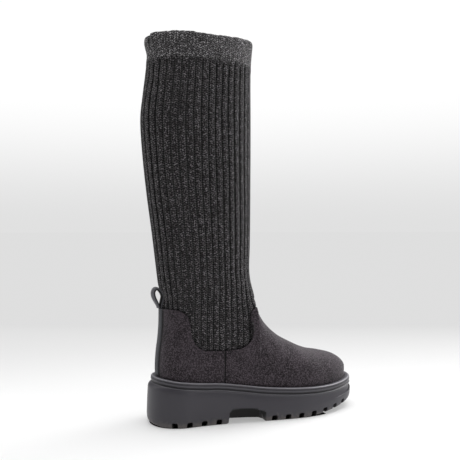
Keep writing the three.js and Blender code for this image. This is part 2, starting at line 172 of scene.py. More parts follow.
def to_line(x: Array, z: Array, line: Array) -> Array:
    """Distance from points of the side view to a line.

    Args:
        x: points' x.
        z: points' z.
        line: (samples, 2), in order.

    Returns:
        Distance, negative to the right of the line's direction.
    """
    a, d = line[:-1], np.diff(line, axis=0)
    px, pz = np.ravel(x)[:, None] - a[:, 0], np.ravel(z)[:, None] - a[:, 1]
    t = np.clip((px * d[:, 0] + pz * d[:, 1]) / np.sum(d * d, axis=1), 0, 1)
    square = (px - t * d[:, 0]) ** 2 + (pz - t * d[:, 1]) ** 2
    best = np.argmin(square, axis=1)
    pick = np.arange(len(best))
    side = d[best, 0] * pz[pick, best] - d[best, 1] * px[pick, best]
    distance = np.sqrt(square[pick, best]) * np.where(side < 0, -1.0, 1.0)
    return distance.reshape(np.shape(x))


def segment(u: Array, v: Array, ends: Sequence[float]) -> tuple[Array, Array]:
    """Distance to a segment in the plane of u and v.

    Args:
        u: points' first coordinate.
        v: points' second coordinate.
        ends: the segment's two ends, four numbers.

    Returns:
        Distance and the share along the segment.
    """
    au, av, bu, bv = ends
    du, dv = bu - au, bv - av
    t = np.clip(((u - au) * du + (v - av) * dv) / (du * du + dv * dv), 0, 1)
    return np.hypot(u - au - t * du, v - av - t * dv), t


def halve(holds: Callable[[Array], Array], near: Array, far: Array) -> tuple[Array, Array]:
    """Close in on the places where a test stops holding, by halving the intervals.

    Args:
        holds: the test, true at `near` and false at `far`.
        near: starts of the intervals.
        far: their ends.

    Returns:
        The intervals left.
    """
    for _ in range(HALVINGS):
        trial = (near + far) / 2
        held = holds(trial)
        near, far = np.where(held, trial, near), np.where(held, far, trial)
    return near, far


# meshes


def grid_faces(rows: int, cols: int, wrap: bool, wrap_rows: bool = False) -> tuple[Array, Array]:
    """Quads of a grid, and the same quads counted on a grid that has its wrapped edges twice.

    Args:
        rows: grid rows.
        cols: grid columns.
        wrap: the last column joins the first.
        wrap_rows: the last row joins the first.

    Returns:
        Vertex numbers and corner numbers, four a quad.
    """
    r = np.arange(rows if wrap_rows else rows - 1)[:, None]
    c = np.arange(cols if wrap else cols - 1)[None, :]
    r_next, c_next = (r + 1) % rows, (c + 1) % cols
    quads = [r * cols + c, r * cols + c_next, r_next * cols + c_next, r_next * cols + c]
    width = cols + 1 if wrap else cols
    corners = [r * width + c, r * width + c + 1, (r + 1) * width + c + 1, (r + 1) * width + c]
    shape = (len(r), c.shape[1])
    flat, flat_corners = ([np.broadcast_to(q, shape).ravel() for q in kind] for kind in (quads, corners))
    return np.stack(flat, axis=1), np.stack(flat_corners, axis=1)


def join(*sheets: tuple[Array, bool, bool]) -> tuple[Array, Array]:
    """Put grids together as one mesh.

    Args:
        sheets: (rows, cols, 3) points, whether the columns close round, whether the faces turn over.

    Returns:
        (n, 3) points and (m, 4) vertex numbers.
    """
    points, quads = [], []
    for grid, wrap, flip in sheets:
        faces, _ = grid_faces(*grid.shape[:2], wrap)
        quads.append((faces[:, ::-1] if flip else faces) + sum(len(p) for p in points))
        points.append(grid.reshape(-1, 3))
    return np.concatenate(points), np.concatenate(quads)


def weld(points: Array, faces: Array) -> tuple[Array, Array]:
    """Merge points that lie together.

    Args:
        points: (n, 3) in millimetres.
        faces: (m, k) vertex numbers.

    Returns:
        Number of the point kept, for each point, and the faces by those numbers.
    """
    key = np.round(points * WELD_STEPS_A_MM).astype(np.int64)
    _, first, inverse = np.unique(key, axis=0, return_index=True, return_inverse=True)
    return first, inverse.reshape(-1)[faces]


def put(
    name: str,
    points: Array,
    faces: Array,
    hollow: Array,
    uv: Array | None = None,
    sharp: float | None = None,
    outward: bool = True,
) -> Piece:
    """Make an object of quads. Quads with two corners together become triangles.

    Args:
        name: object name.
        points: (n, 3) in millimetres.
        faces: (m, 4) vertex numbers.
        hollow: (n,) 0 on the surface to 1 in the bottom of a groove, painted as shade by the finishes (on
            the back strip as a dark stitch line); below 0 a painted highlight.
        uv: (m, 4, 2) in metres of cloth.
        sharp: angle in degrees above which an edge stays sharp.
        outward: turn a closed shape so that its faces point outwards.

    Returns:
        The object, linked to the scene.
    """
    kept, quads = weld(points, faces)
    xyz = points[kept] * MM
    if outward:
        a, b, c, d = (xyz[quads[:, k]] for k in range(4))
        volume = np.sum(a * np.cross(b, c)) + np.sum(a * np.cross(c, d))
        if volume < 0:
            quads = quads[:, ::-1]
            uv = None if uv is None else uv[:, ::-1]
    keep = quads != np.roll(quads, -1, axis=1)
    counts = keep.sum(axis=1)
    solid = counts >= 3
    quads, keep, counts = quads[solid], keep[solid], counts[solid]
    loops = quads[keep]
    starts = np.concatenate([[0], np.cumsum(counts)[:-1]])
    mesh = bpy.data.meshes.new(name)
    mesh.vertices.add(len(xyz))
    mesh.loops.add(len(loops))
    mesh.polygons.add(len(counts))
    mesh.vertices.foreach_set("co", xyz.astype(np.float32).ravel())
    mesh.loops.foreach_set("vertex_index", loops.astype(np.int32))
    mesh.polygons.foreach_set("loop_start", starts.astype(np.int32))
    mesh.polygons.foreach_set("loop_total", counts.astype(np.int32))
    mesh.polygons.foreach_set("use_smooth", np.ones(len(counts), bool))
    if uv is not None:
        layer = mesh.uv_layers.new(name="cloth")
        layer.data.foreach_set("uv", uv[solid][keep].astype(np.float32).ravel())
    layer = mesh.attributes.new("hollow", "FLOAT", "POINT")
    layer.data.foreach_set("value", hollow[kept].astype(np.float32))
    mesh.update(calc_edges=True)
    mesh.validate()
    if sharp is not None:
        mesh.set_sharp_from_angle(angle=math.radians(sharp))
    piece = bpy.data.objects.new(name, mesh)
    bpy.context.scene.collection.objects.link(piece)
    return piece


def put_tube(
    name: str,
    grid: Array,
    u: Array,
    v: Array,
    hollow: Array | float = 0.0,
    closed: bool = False,
    sharp: float | None = None,
) -> Piece:
    """Make an object of a grid whose columns close round, with its cloth map.

    Args:
        name: object name.
        grid: (rows, cols, 3) in millimetres.
        u: cloth across in millimetres, over one column more than the grid has.
        v: cloth along in millimetres, over as many, and over one row more where the rows close round.
        hollow: 0 on the surface to 1 in the bottom of a groove, painted as shade by the finishes (on the
            back strip as a dark stitch line).
        closed: the last row joins the first.
        sharp: angle in degrees above which an edge stays sharp.

    Returns:
        The object, linked to the scene.
    """
    rows, cols = grid.shape[:2]
    faces, corners = grid_faces(rows, cols, True, closed)
    shape = (rows + closed, cols + 1)
    flat = np.stack([np.broadcast_to(k, shape).ravel() for k in (u, v)], axis=1) * MM
    deep = np.broadcast_to(hollow, (rows, cols)).ravel()
    return put(name, grid.reshape(-1, 3), faces, deep, flat[corners], sharp)


def capped(grid: Array) -> Array:
    """The grid of a tube with both ends drawn in to their middles."""
    ends = [np.broadcast_to(cap, grid[:1].shape) for cap in grid[[0, -1]].mean(axis=1)]
    return np.concatenate([ends[0], grid, ends[1]])


# form of the upper


@dataclass(frozen=True)
class Last:
    """Form that every piece of the upper is taken from: a side view and a half width at each point."""

    heel_x: float = -27.6
    toe_x: float = 234.4
    ball_x: float = 150.0
    heel_radius: float = 30.0
    well_depth: float = 7.0
    straight_below: float = 172.0
    leg_centre: float = 33.0
    ankle_low: float = 105.0
    ankle_high: float = 190.0
    ankle_x: float = 92.1
    widest_lift: float = 18.0
    tuck_share: float = 0.06
    oval_power: float = 2.15
    ring_samples: int = 721
    # x and z of the back line and of the front line
    back_rows: Rows = (
        (-25.5, 20), (-27.4, 52), (-28.5, 66), (-27.5, 85), (-25, 105), (-23.8, 125), (-24.4, 150),
        (-29, 190), (-34, 230), (-41, 280), (-46, 330), (-48, 370), (-45, 400), (-41.5, 430),
        (-41.5, 455), (-45, 480),
    )
    front_rows: Rows = (
        (234.4, 20), (234.4, 44), (230.6, 57.4), (218.4, 66.7), (198, 72.6), (175, 78.0), (153, 86.8),
        (130, 99.5), (110.2, 118.0), (100.2, 135.4), (94.7, 147.5), (92.3, 168), (92.1, 190), (93.1, 220),
        (93.8, 270), (93.8, 320), (93.4, 370), (93.2, 420), (94.2, 455), (98, 480),
    )
    # x, half width and middle of the foot plan
    plan_rows: Rows = (
        (-33, 32, 0), (0, 32, 0), (35, 32.5, -1.5), (70, 34, -3.2), (105, 38.5, -4.2),
        (140, 43, -3.4), (165, 45, -1.2), (190, 45, 1.2), (210, 45, 3), (233, 45, 4),
    )
    # z and half width of the leg
    leg_rows: Rows = (
        (30, 32), (100, 33), (150, 35), (190, 37), (230, 38), (300, 41), (370, 43), (430, 41), (480, 40),
    )
    # x, height of the rim and of the underside, and how far rim and body stand out from the plan
    sole_rows: Rows = (
        (-45, 58.5, 3.2, 7.6, 12.8), (-28, 57, 0.6, 7.2, 12.2), (-10, 54.5, 0, 5.0, 8.2),
        (15, 51.5, 0, 4.2, 6.2), (45, 49, 0, 4.2, 5.8), (75, 44.5, 0, 4.2, 5.8),
        (100, 41, 0, 4.4, 6.2), (130, 38.4, 0, 4.6, 6.6), (155, 37, 0.4, 4.8, 6.8),
        (185, 36, 3, 5.2, 7.0), (212, 37, 6.8, 6.4, 7.4), (245, 40, 13, 7.4, 8.2),
    )
    # x and z of the felt's top edge, round the gore and on to the instep
    top_rows: Rows = (
        (-60, 139.5), (-16, 139.5), (-5, 136.8), (1.2, 131), (4, 122), (5.4, 111), (8.6, 101.5),
        (14, 94), (23, 89.8), (40, 88.6), (58, 88.4), (71, 91), (79.5, 97.5), (83, 107), (82, 117),
        (80.5, 127), (84, 135.5), (95, 139.5), (120, 141),
    )
    made: dict = field(default_factory=dict, compare=False)

    def __post_init__(self) -> None:
        """Sample the curves once."""
        instep = [row for row in self.front_rows if 40 < row[1] < 195][::-1]
        tables = {
            "back": (self.back_rows, 1, 0),
            "front": (self.front_rows, 1, 0),
            "instep": (instep, 0, 1),
            "half": (self.plan_rows, 0, 1),
            "middle": (self.plan_rows, 0, 2),
            "leg": (self.leg_rows, 0, 1),
            "rim": (self.sole_rows, 0, 1),
            "under": (self.sole_rows, 0, 2),
            "rim_out": (self.sole_rows, 0, 3),
            "body_out": (self.sole_rows, 0, 4),
        }
        self.made.update({name: curve(*table) for name, table in tables.items()})

    def back(self, z: Array) -> Array:
        """X of the back line."""
        return self.made["back"](z)

    def front(self, z: Array) -> Array:
        """X of the front line."""
        return self.made["front"](z)

    def middle(self, x: Array) -> Array:
        """Y of the foot plan's middle."""
        return self.made["middle"](x)

    def rim(self, x: Array) -> Array:
        """Height of the sole's rim."""
        return self.made["rim"](x)

    def under(self, x: Array) -> Array:
        """Height of the sole's underside."""
        return np.maximum(self.made["under"](x), 0)

    def body_out(self, x: Array) -> Array:
        """How far the sole's body stands out from the foot plan."""
        return self.made["body_out"](x)

    def floor(self, x: Array) -> Array:
        """Height of the floor of the sole's well."""
        return self.rim(x) - self.well_depth

    def top(self, x: Array) -> Array:
        """Height of the instep line, out of reach behind the ankle."""
        return np.where(x < self.ankle_x, 1e9, self.made["instep"](x))

    def plan(self, x: Array) -> tuple[Array, Array]:
        """Foot plan, rounded off as a circle at the heel and as a blunt superellipse at the toe.

        Args:
            x: places along the foot.

        Returns:
            Half width and the middle's y.
        """
        heel = np.clip((self.heel_x + self.heel_radius - x) / self.heel_radius, 0, 1)
        toe = np.clip((x - self.ball_x) / (self.toe_x - self.ball_x), 0, 1)
        rounding = np.sqrt(1 - heel**2) * (1 - toe**2.3) ** (1 / 2.1)
        return self.made["half"](x) * rounding, self.middle(x)

    def outline(self, angle: Array, sign: float) -> Array:
        """One side of the foot plan.

        Args:
            angle: 0 at the heel's end to pi at the toe's end.
            sign: -1 for the outer side, 1 for the inner one.

        Returns:
            (n, 2) points.
        """
        x = (self.heel_x + self.toe_x) / 2 - (self.toe_x - self.heel_x) / 2 * np.cos(angle)
        half, middle = self.plan(x)
        return np.stack([x, middle + sign * half], axis=-1)

    def width(self, x: Array, z: Array) -> tuple[Array, Array]:
        """Half width and middle at points of the side view. Below the ankle the plan's half width is
        rounded over to the instep line; above it the section is an oval between back and front line.

        Args:
            x: points' x.
            z: points' z.

        Returns:
            Half width, negative outside the form, and the middle's y.
        """
        back, front = self.back(z), self.front(z)
        x_plan = x - (back - self.heel_x) * (1 - smooth(x - self.heel_x, 0, 90))
        half, middle = self.plan(x_plan)
        floor = self.floor(x)
        widest = floor + self.widest_lift
        roundness = 1.8 + 0.8 * smooth(x, 80, 200)
        up = np.clip((z - widest) / (self.top(x) - widest), 0, 1)
        tuck = np.clip((widest - z) / self.widest_lift, 0, 2)
        foot = half * np.sqrt(1 - up**roundness) * (1 - self.tuck_share * tuck**2)
        across = np.minimum(np.abs((2 * x - back - front) / (front - back)), 1)
        leg = self.made["leg"](z) * (1 - across**self.oval_power) ** (1 / self.oval_power)
        share = smooth(z, self.ankle_low, self.ankle_high)
        outside = (x < back) | (x > front) | (z < floor - 8)
        return np.where(outside, -1, foot + (leg - foot) * share), middle * (1 - share)

    def meet(self, origin: Array, direction: Array, reach: float = 420.0) -> Array:
        """Points where rays from inside leave the form.

        Args:
            origin: (..., 3) inside the form.
            direction: (..., 3) unit vectors.
            reach: longest ray.

        Returns:
            (..., 3) points.
        """
        shape = np.broadcast_shapes(origin.shape, direction.shape)

        def inside(distance: Array) -> Array:
            """Whether the ray is still inside at a distance.

            Args:
                distance: how far along the ray.

            Returns:
                True where it is inside.
            """
            p = origin + direction * distance[..., None]
            half, middle = self.width(p[..., 0], p[..., 2])
            return np.abs(p[..., 1] - middle) < half

        near, _ = halve(inside, np.zeros(shape[:-1]), np.full(shape[:-1], reach))
        return origin + direction * near[..., None]

    def leg_rings(self, z: Array, share: Array) -> tuple[Array, Array]:
        """Level rings of the leg. Above the ankle, points stand at shares of the way round from the
        back, outer side first; below it they run straight down, away from the leg's centre.

        Args:
            z: (rows,) heights.
            share: (rows, cols) shares of the way round.

        Returns:
            (rows, cols, 3) points and level outward directions.
        """
        level = np.maximum(z, self.straight_below)
        low = z < self.straight_below
        centre = np.minimum((self.back(level) + self.front(level)) / 2, self.leg_centre)
        centre = np.where(low, self.leg_centre, centre)
        angle = np.linspace(0, 2 * np.pi, self.ring_samples)
        ray = np.stack([-np.cos(angle), -np.sin(angle), 0 * angle], axis=-1)
        origin = np.stack([centre, 0 * centre, level], axis=-1)
        ring = spread(self.meet(origin[:, None], ray[None]), share)
        if low.any():
            ring[low] = self.straight_down(ring[low], z[low])
        around = np.roll(ring, -1, axis=1) - np.roll(ring, 1, axis=1)
        out = unit(np.stack([-around[..., 1], around[..., 0], 0 * around[..., 0]], axis=-1))
        return ring, out * np.sign(np.sum(out * (ring - origin[:, None]), axis=-1, keepdims=True))

    def straight_down(self, ring: Array, z: Array) -> Array:
        """Rings below the ankle: each point keeps the ankle ring's x, except that the ends follow the
        back line and the front line, and the half width gives its y.

        Args:
            ring: (rows, cols, 3) points of the ankle ring.
            z: (rows,) wanted heights.

        Returns:
            (rows, cols, 3) points.
        """
        back, front = self.back(self.straight_below), self.front(self.straight_below)
        height = np.broadcast_to(z[:, None], ring.shape[:2])
        u = (ring[..., 0] - back) / (front - back)
        x = ring[..., 0] + (self.back(height) - back) * (1 - smooth(u, 0, 0.3))
        x = x + (self.front(height) - front) * smooth(u, 0.87, 1.0)
        half, middle = self.width(x, height)
        side = np.where(np.arange(ring.shape[1]) < ring.shape[1] / 2, -1.0, 1.0)
        return np.stack([x, middle + side * np.maximum(half, 0), height], axis=-1)

    def top_line(self) -> Array:
        """The felt's top edge in the side view, from the heel to the instep.

        Returns:
            (n, 2) points.
        """
        line = spline(self.top_rows)
        inside = (line[:, 0] >= self.back(line[:, 1])) & (line[:, 0] <= self.front(line[:, 1]))
        line = line[inside]
        first = (self.back(line[0, 1]), line[0, 1])
        return np.vstack([first, line, (self.front(line[-1, 1]), line[-1, 1])])


# finishes


def colour(code: str) -> tuple[float, float, float, float]:
    """A web colour such as '48474d' as linear values.

    Args:
        code: six hexadecimal digits.

    Returns:
        Red, green, blue and alpha.
    """
    value = np.array([int(code[i : i + 2], 16) for i in (0, 2, 4)]) / 255
    linear = np.where(value < 0.04045, value / 12.92, ((value + 0.055) / 1.055) ** 2.4)
    return (*map(float, linear), 1.0)


def grey(value: float) -> tuple[float, float, float, float]:
    """A grey of one linear value."""
    return (value, value, value, 1.0)


class Wiring:
    """Adds and joins the nodes of one tree."""

    def __init__(self, tree: bpy.types.NodeTree) -> None:
        """Keep the tree."""
        self.tree = tree

    def feed(self, socket: Socket, value: object) -> None:
        """Give a socket a value, a web colour or another node's output.

        Args:
            socket: the socket that is fed.
            value: what it gets.
        """
        if isinstance(value, Socket):
            self.tree.links.new(value, socket)
        else:
            socket.default_value = colour(value) if isinstance(value, str) else value

    def add(self, kind: str, inputs: dict | None = None, **settings: object) -> bpy.types.Node:
        """Add a node.

        Args:
            kind: node type without the words ShaderNode.
            inputs: socket name or number to a value or to another node's output.
            settings: the node's own settings.

        Returns:
            The node.
        """
        node = self.tree.nodes.new("ShaderNode" + kind)
        for key, value in settings.items():
            setattr(node, key, value)
        for key, value in (inputs or {}).items():
            self.feed(node.inputs[key], value)
        return node

    def maths(self, operation: str, *values: object) -> Socket:
        """A Math node's result."""
        return self.add("Math", dict(enumerate(values)), operation=operation).outputs[0]

    def times(self, a: object, b: object) -> Socket:
        """Product of two values."""
        return self.maths("MULTIPLY", a, b)

    def plus(self, a: object, b: object) -> Socket:
        """Sum of two values."""
        return self.maths("ADD", a, b)

    def less(self, a: object, b: object) -> Socket:
        """Difference of two values."""
        return self.maths("SUBTRACT", a, b)

    def vector(self, operation: str, a: object, b: object) -> bpy.types.Node:
        """A Vector Math node."""
        return self.add("VectorMath", {0: a, 1: b}, operation=operation)

    def ramp(self, value: Socket, low: float, high: float) -> Socket:
        """Smooth share of a value between low and high."""
        inputs = {"Value": value, "From Min": low, "From Max": high}
        return self.add("MapRange", inputs, interpolation_type="SMOOTHSTEP").outputs["Result"]

    def mix(self, factor: object, a: object, b: object) -> Socket:
        """Two colours mixed by a factor."""
        return self.add("Mix", {0: factor, 6: a, 7: b}, data_type="RGBA").outputs[2]

    def noise(self, vector: object, scale: object, detail: float, rough: float) -> Socket:
        """A noise texture's value."""
        inputs = {"Vector": vector, "Scale": scale, "Detail": detail, "Roughness": rough}
        return self.add("TexNoise", inputs).outputs[0]


class Effect(Wiring):
    """A node group under way: what it is given, and the node that hands out its values."""

    def __init__(self, name: str, outputs: Sequence[str], **inputs: float) -> None:
        """Start the group with a Vector and with numbers as inputs.

        Args:
            name: group name.
            outputs: names of its float outputs.
            inputs: names of its numbers and their defaults.
        """
        super().__init__(bpy.data.node_groups.new(name, "ShaderNodeTree"))
        new_socket = self.tree.interface.new_socket
        new_socket(name="Vector", in_out="INPUT", socket_type="NodeSocketVector")
        for label, value in inputs.items():
            socket = new_socket(name=label, in_out="INPUT", socket_type="NodeSocketFloat")
            socket.default_value = value
        for label in outputs:
            new_socket(name=label, in_out="OUTPUT", socket_type="NodeSocketFloat")
        self.given = self.tree.nodes.new("NodeGroupInput").outputs
        self.end = self.tree.nodes.new("NodeGroupOutput")

    def put_out(self, *values: Socket) -> bpy.types.NodeTree:
        """Join the values to the outputs in their order.

        Args:
            values: one for each output.

        Returns:
            The group.
        """
        for socket, value in zip(self.end.inputs, values):
            self.feed(socket, value)
        return self.tree


def flecks_group() -> bpy.types.NodeTree:
    """Heathered yarn: light and dark flecks from two noises stretched along the wales, and fuzz.

    Returns:
        The group.
    """
    e = Effect("heather_flecks", ("Light", "Dark", "Fuzz"), Scale=700, Stretch=0.7)
    where, scale = e.given["Vector"], e.given["Scale"]
    stretch = e.add("CombineXYZ", {0: 1.0, 1: 1.0, 2: e.given["Stretch"]}).outputs[0]
    drawn = e.vector("MULTIPLY", where, stretch).outputs[0]
    light = e.noise(drawn, scale, 3, 0.65)
    shifted = e.vector("ADD", drawn, (0.31, 0.17, 0.53)).outputs[0]
    dark = e.noise(shifted, e.times(scale, 0.8), 3, 0.6)
    fuzz = e.noise(where, e.times(scale, 3.0), 2, 0.6)
    return e.put_out(e.ramp(light, 0.49, 0.6), e.ramp(dark, 0.5, 0.62), fuzz)


def stitches_group() -> bpy.types.NodeTree:
    """Plain knit: each stitch is a V. Height is the round of a leg across the wale, times a wave up the
    course that is shifted by the distance from the wale's middle.

    Returns:
        The group.
    """
    e = Effect("knit_stitches", ("Height",), Wale=0.0022, Course=0.0017)
    split = e.add("SeparateXYZ", {0: e.given["Vector"]}).outputs
    across = e.maths("FRACT", e.maths("DIVIDE", split["X"], e.given["Wale"]))
    off = e.maths("ABSOLUTE", e.less(across, 0.5))
    rows = e.plus(e.maths("DIVIDE", split["Y"], e.given["Course"]), e.times(off, 1.5))
    wave = e.plus(e.times(e.maths("COSINE", e.times(rows, 2 * math.pi)), 0.5), 0.5)
    leg = e.maths("SINE", e.times(off, 2 * math.pi))
    return e.put_out(e.times(wave, e.plus(e.times(leg, 0.7), 0.3)))


def nap_group() -> bpy.types.NodeTree:
    """Felt: cloudy shade from a wide noise, specks from a fine one and a matted height from both.

    Returns:
        The group.
    """
    e = Effect("felt_nap", ("Cloud", "Speck", "Height"), Cloud=45, Speck=640)
    where, wide = e.given["Vector"], e.given["Cloud"]
    cloud = e.noise(where, wide, 3, 0.55)
    speck = e.noise(where, e.given["Speck"], 3, 0.7)
    matted = e.noise(where, e.times(wide, 5.0), 3, 0.6)
    height = e.plus(e.times(speck, 0.6), e.times(matted, 0.9))
    return e.put_out(e.ramp(cloud, 0.3, 0.7), e.ramp(speck, 0.41, 0.65), height)


def dust_group() -> bpy.types.NodeTree:
    """Dust near the ground: share falls from 1 at the tread to 0 at the given height, broken by noise.

    Returns:
        The group.
    """
    e = Effect("ground_dust", ("Mask",), Reach=0.01, Patch=160)
    height = e.add("SeparateXYZ", {0: e.given["Vector"]}).outputs["Z"]
    low = e.less(1.0, e.maths("DIVIDE", height, e.given["Reach"]))
    patch = e.noise(e.given["Vector"], e.given["Patch"], 4, 0.65)
    both = e.plus(low, e.times(e.less(patch, 0.5), 2.2))
    return e.put_out(e.ramp(both, 0.1, 1.0))


@dataclass(frozen=True)
class Groups:
    """The shared effects."""

    flecks: bpy.types.NodeTree
    stitches: bpy.types.NodeTree
    nap: bpy.types.NodeTree
    dust: bpy.types.NodeTree


class Surface(Wiring):
    """A material under way: its shader and the values that finishes read."""

    def __init__(self, name: str, rough: float, specular: float, sheen: float) -> None:
        """Start the material.

        Args:
            name: material name.
            rough: roughness.
            specular: specular level.
            sheen: sheen weight.
        """
        self.material = bpy.data.materials.new(name)
        self.material.use_nodes = True
        super().__init__(self.material.node_tree)
        self.shader = self.tree.nodes["Principled BSDF"].inputs
        self.shader["Roughness"].default_value = rough
        self.shader["Specular IOR Level"].default_value = specular
        self.shader["Sheen Weight"].default_value = sheen
        self.shader["Sheen Roughness"].default_value = 0.5

    def place(self) -> Socket:
        """Object coordinates."""
        return self.add("TexCoord").outputs["Object"]

    def cloth(self) -> Socket:
        """Place on the cloth map."""
        return self.add("UVMap", uv_map="cloth").outputs[0]

    def hollow(self) -> Socket:
        """Depth of the groove that the point lies in."""
        # the finishes paint shade where this is above 0 and a highlight where it is below 0
        return self.add("Attribute", attribute_name="hollow").outputs["Fac"]

    def effect(
        self, tree: bpy.types.NodeTree, vector: Socket, **values: float
    ) -> bpy.types.bpy_prop_collection:
        """Values of a shared effect at a place."""
        return self.add("Group", {"Vector": vector, **values}, node_tree=tree).outputs

    def finished(self, tone: Socket, strength: float, distance: float, height: Socket) -> bpy.types.Material:
        """Give the shader its colour and its relief.

        Args:
            tone: base colour.
            strength: the bump's strength.
            distance: the bump's depth in metres.
            height: the relief, 0 to 1.

        Returns:
            The material.
        """
        bump = self.add("Bump", {"Strength": strength, "Distance": distance, "Height": height})
        self.feed(self.shader["Base Color"], tone)
        self.feed(self.shader["Normal"], bump.outputs[0])
        return self.material


@dataclass(frozen=True)
class Finish:
    """A finish, named after the slot that it fills."""

    name: str

    def make(self, groups: Groups) -> bpy.types.Material:
        """Build the material; each finish has its own way."""
        raise NotImplementedError


@dataclass(frozen=True)
class KnitFinish(Finish):
    """Heathered yarn, knitted."""

    base: str = "252224"
    light: str = "989397"
    dark: str = "050505"
    # painted shade between the stitches and in the rib grooves
    groove: str = "040404"
    wale: float = 0.35 / 60
    course: float = 0.0028
    relief: float = 0.0018
    fleck_scale: float = 700.0

    def make(self, groups: Groups) -> bpy.types.Material:
        """Build the material: yarn colour with flecks, painted shade in the grooves and between the
        stitches, knit relief as bump.

        Args:
            groups: the shared effects.

        Returns:
            The material.
        """
        s = Surface(self.name, 0.95, 0.12, 0.18)
        flecks = s.effect(groups.flecks, s.place(), Scale=self.fleck_scale)
        height = s.effect(groups.stitches, s.cloth(), Wale=self.wale, Course=self.course)["Height"]
        yarn = s.mix(flecks["Light"], self.base, self.light)
        yarn = s.mix(s.times(flecks["Dark"], 0.85), yarn, self.dark)
        # painted shade in the low parts of the stitch relief
        yarn = s.mix(s.times(s.ramp(height, 0.45, 0.05), 0.85), yarn, self.groove)
        # painted shade in the rib grooves, broken where light flecks cross them
        crossed = s.less(1.0, s.times(flecks["Light"], 0.2))
        yarn = s.mix(s.times(s.hollow(), crossed), yarn, self.groove)
        return s.finished(yarn, 0.9, self.relief, s.plus(height, s.times(flecks["Fuzz"], 0.5)))


@dataclass(frozen=True)
class FeltFinish(Finish):
    """Pressed wool felt."""

    base: str = "252123"
    pale: str = "635a61"
    dark: str = "070607"
    # painted shade in the side seam, along the top edge and beside the back strip
    groove: str = "0c0b0c"
    relief: float = 0.0006

    def make(self, groups: Groups) -> bpy.types.Material:
        """Build the material: clouded charcoal with fine specks and a matted bump.

        Args:
            groups: the shared effects.

        Returns:
            The material.
        """
        s = Surface(self.name, 0.95, 0.12, 0.16)
        nap = s.effect(groups.nap, s.place())
        felt = s.mix(nap["Speck"], self.dark, self.pale)
        felt = s.mix(0.35, felt, self.base)
        felt = s.mix(s.times(nap["Cloud"], 0.18), felt, self.pale)
        # painted shade from the hollow attribute
        felt = s.mix(s.hollow(), felt, self.groove)
        return s.finished(felt, 0.8, self.relief, nap["Height"])


@dataclass(frozen=True)
class RubberFinish(Finish):
    """Moulded foam rubber."""

    base: str = "3a383e"
    grain: str = "4c4a50"
    dusty: str = "6b655f"
    # painted shade in the bead's grooves, lug gaps, arch and channels
    groove: str = "080708"
    # painted highlight along the bead's top edge
    painted_highlight: str = "a7a5ab"

    def make(self, groups: Groups) -> bpy.types.Material:
        """Build the material: satin grey, painted shade in the grooves, a painted highlight on the bead's
        top edge, dust on the tread.

        Args:
            groups: the shared effects.

        Returns:
            The material.
        """
        s = Surface(self.name, 0.42, 0.4, 0.0)
        where, hollow = s.place(), s.hollow()
        grain = s.noise(where, 900.0, 2, 0.6)
        rubber = s.mix(s.times(grain, 0.25), self.base, self.grain)
        rubber = s.mix(s.times(s.effect(groups.dust, where)["Mask"], 0.5), rubber, self.dusty)
        # painted shade where hollow is above 0, then a painted highlight where it is below 0
        rubber = s.mix(hollow, rubber, self.groove)
        rubber = s.mix(s.times(hollow, -0.7), rubber, self.painted_highlight)
        return s.finished(rubber, 0.25, 0.0002, grain)


@dataclass(frozen=True)
class TapeFinish(Finish):
    """Woven tape: fine cross ribs."""

    base: str = "4c4c50"
    dark: str = "2a2a2c"
    # painted shade on the loop's inward faces; on the back strip, a dark stitch line
    groove: str = "0b0b0c"
    pitch: float = 0.0008

    def make(self, groups: Groups) -> bpy.types.Material:
        """Build the material: threads as a product of two waves over the tape's length and width.

        Args:
            groups: the shared effects, of which it needs none.

        Returns:
            The material.
        """
        s = Surface(self.name, 0.8, 0.25, 0.05)
        split = s.add("SeparateXYZ", {0: s.cloth()}).outputs
        waves = [s.maths("SINE", s.times(split[k], 2 * math.pi / self.pitch)) for k in ("X", "Y")]
        height = s.plus(s.times(s.times(*waves), 0.5), 0.5)
        tape = s.mix(height, self.dark, self.base)
        tape = s.mix(0.5, tape, self.base)
        # painted shade from the hollow attribute, and the strip's dark stitch line
        tape = s.mix(s.hollow(), tape, self.groove)
        return s.finished(tape, 0.6, 0.0002, height)


@dataclass
class Part:
    """A piece taken from the last: it builds its own mesh and is then dressed."""

    last: Last

    def build(self) -> Piece:
        """Build the mesh; each piece has its own way."""
        raise NotImplementedError

    def dress(self, finish: Finish, groups: Groups, *nodes: str) -> None:
        """Build the piece, give it its finish and slot, fix it to the boot and let it stand for nodes.

        Args:
            finish: its finish, named as its slot.
            groups: the shared effects.
            nodes: CAD nodes that it stands for.
        """
        piece = self.build()
        piece.data.materials.append(finish.make(groups))
        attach(piece, "root")
        if nodes:
            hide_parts(*nodes)
        log.info("%s: %d faces", piece.name, len(piece.data.polygons))


# sole


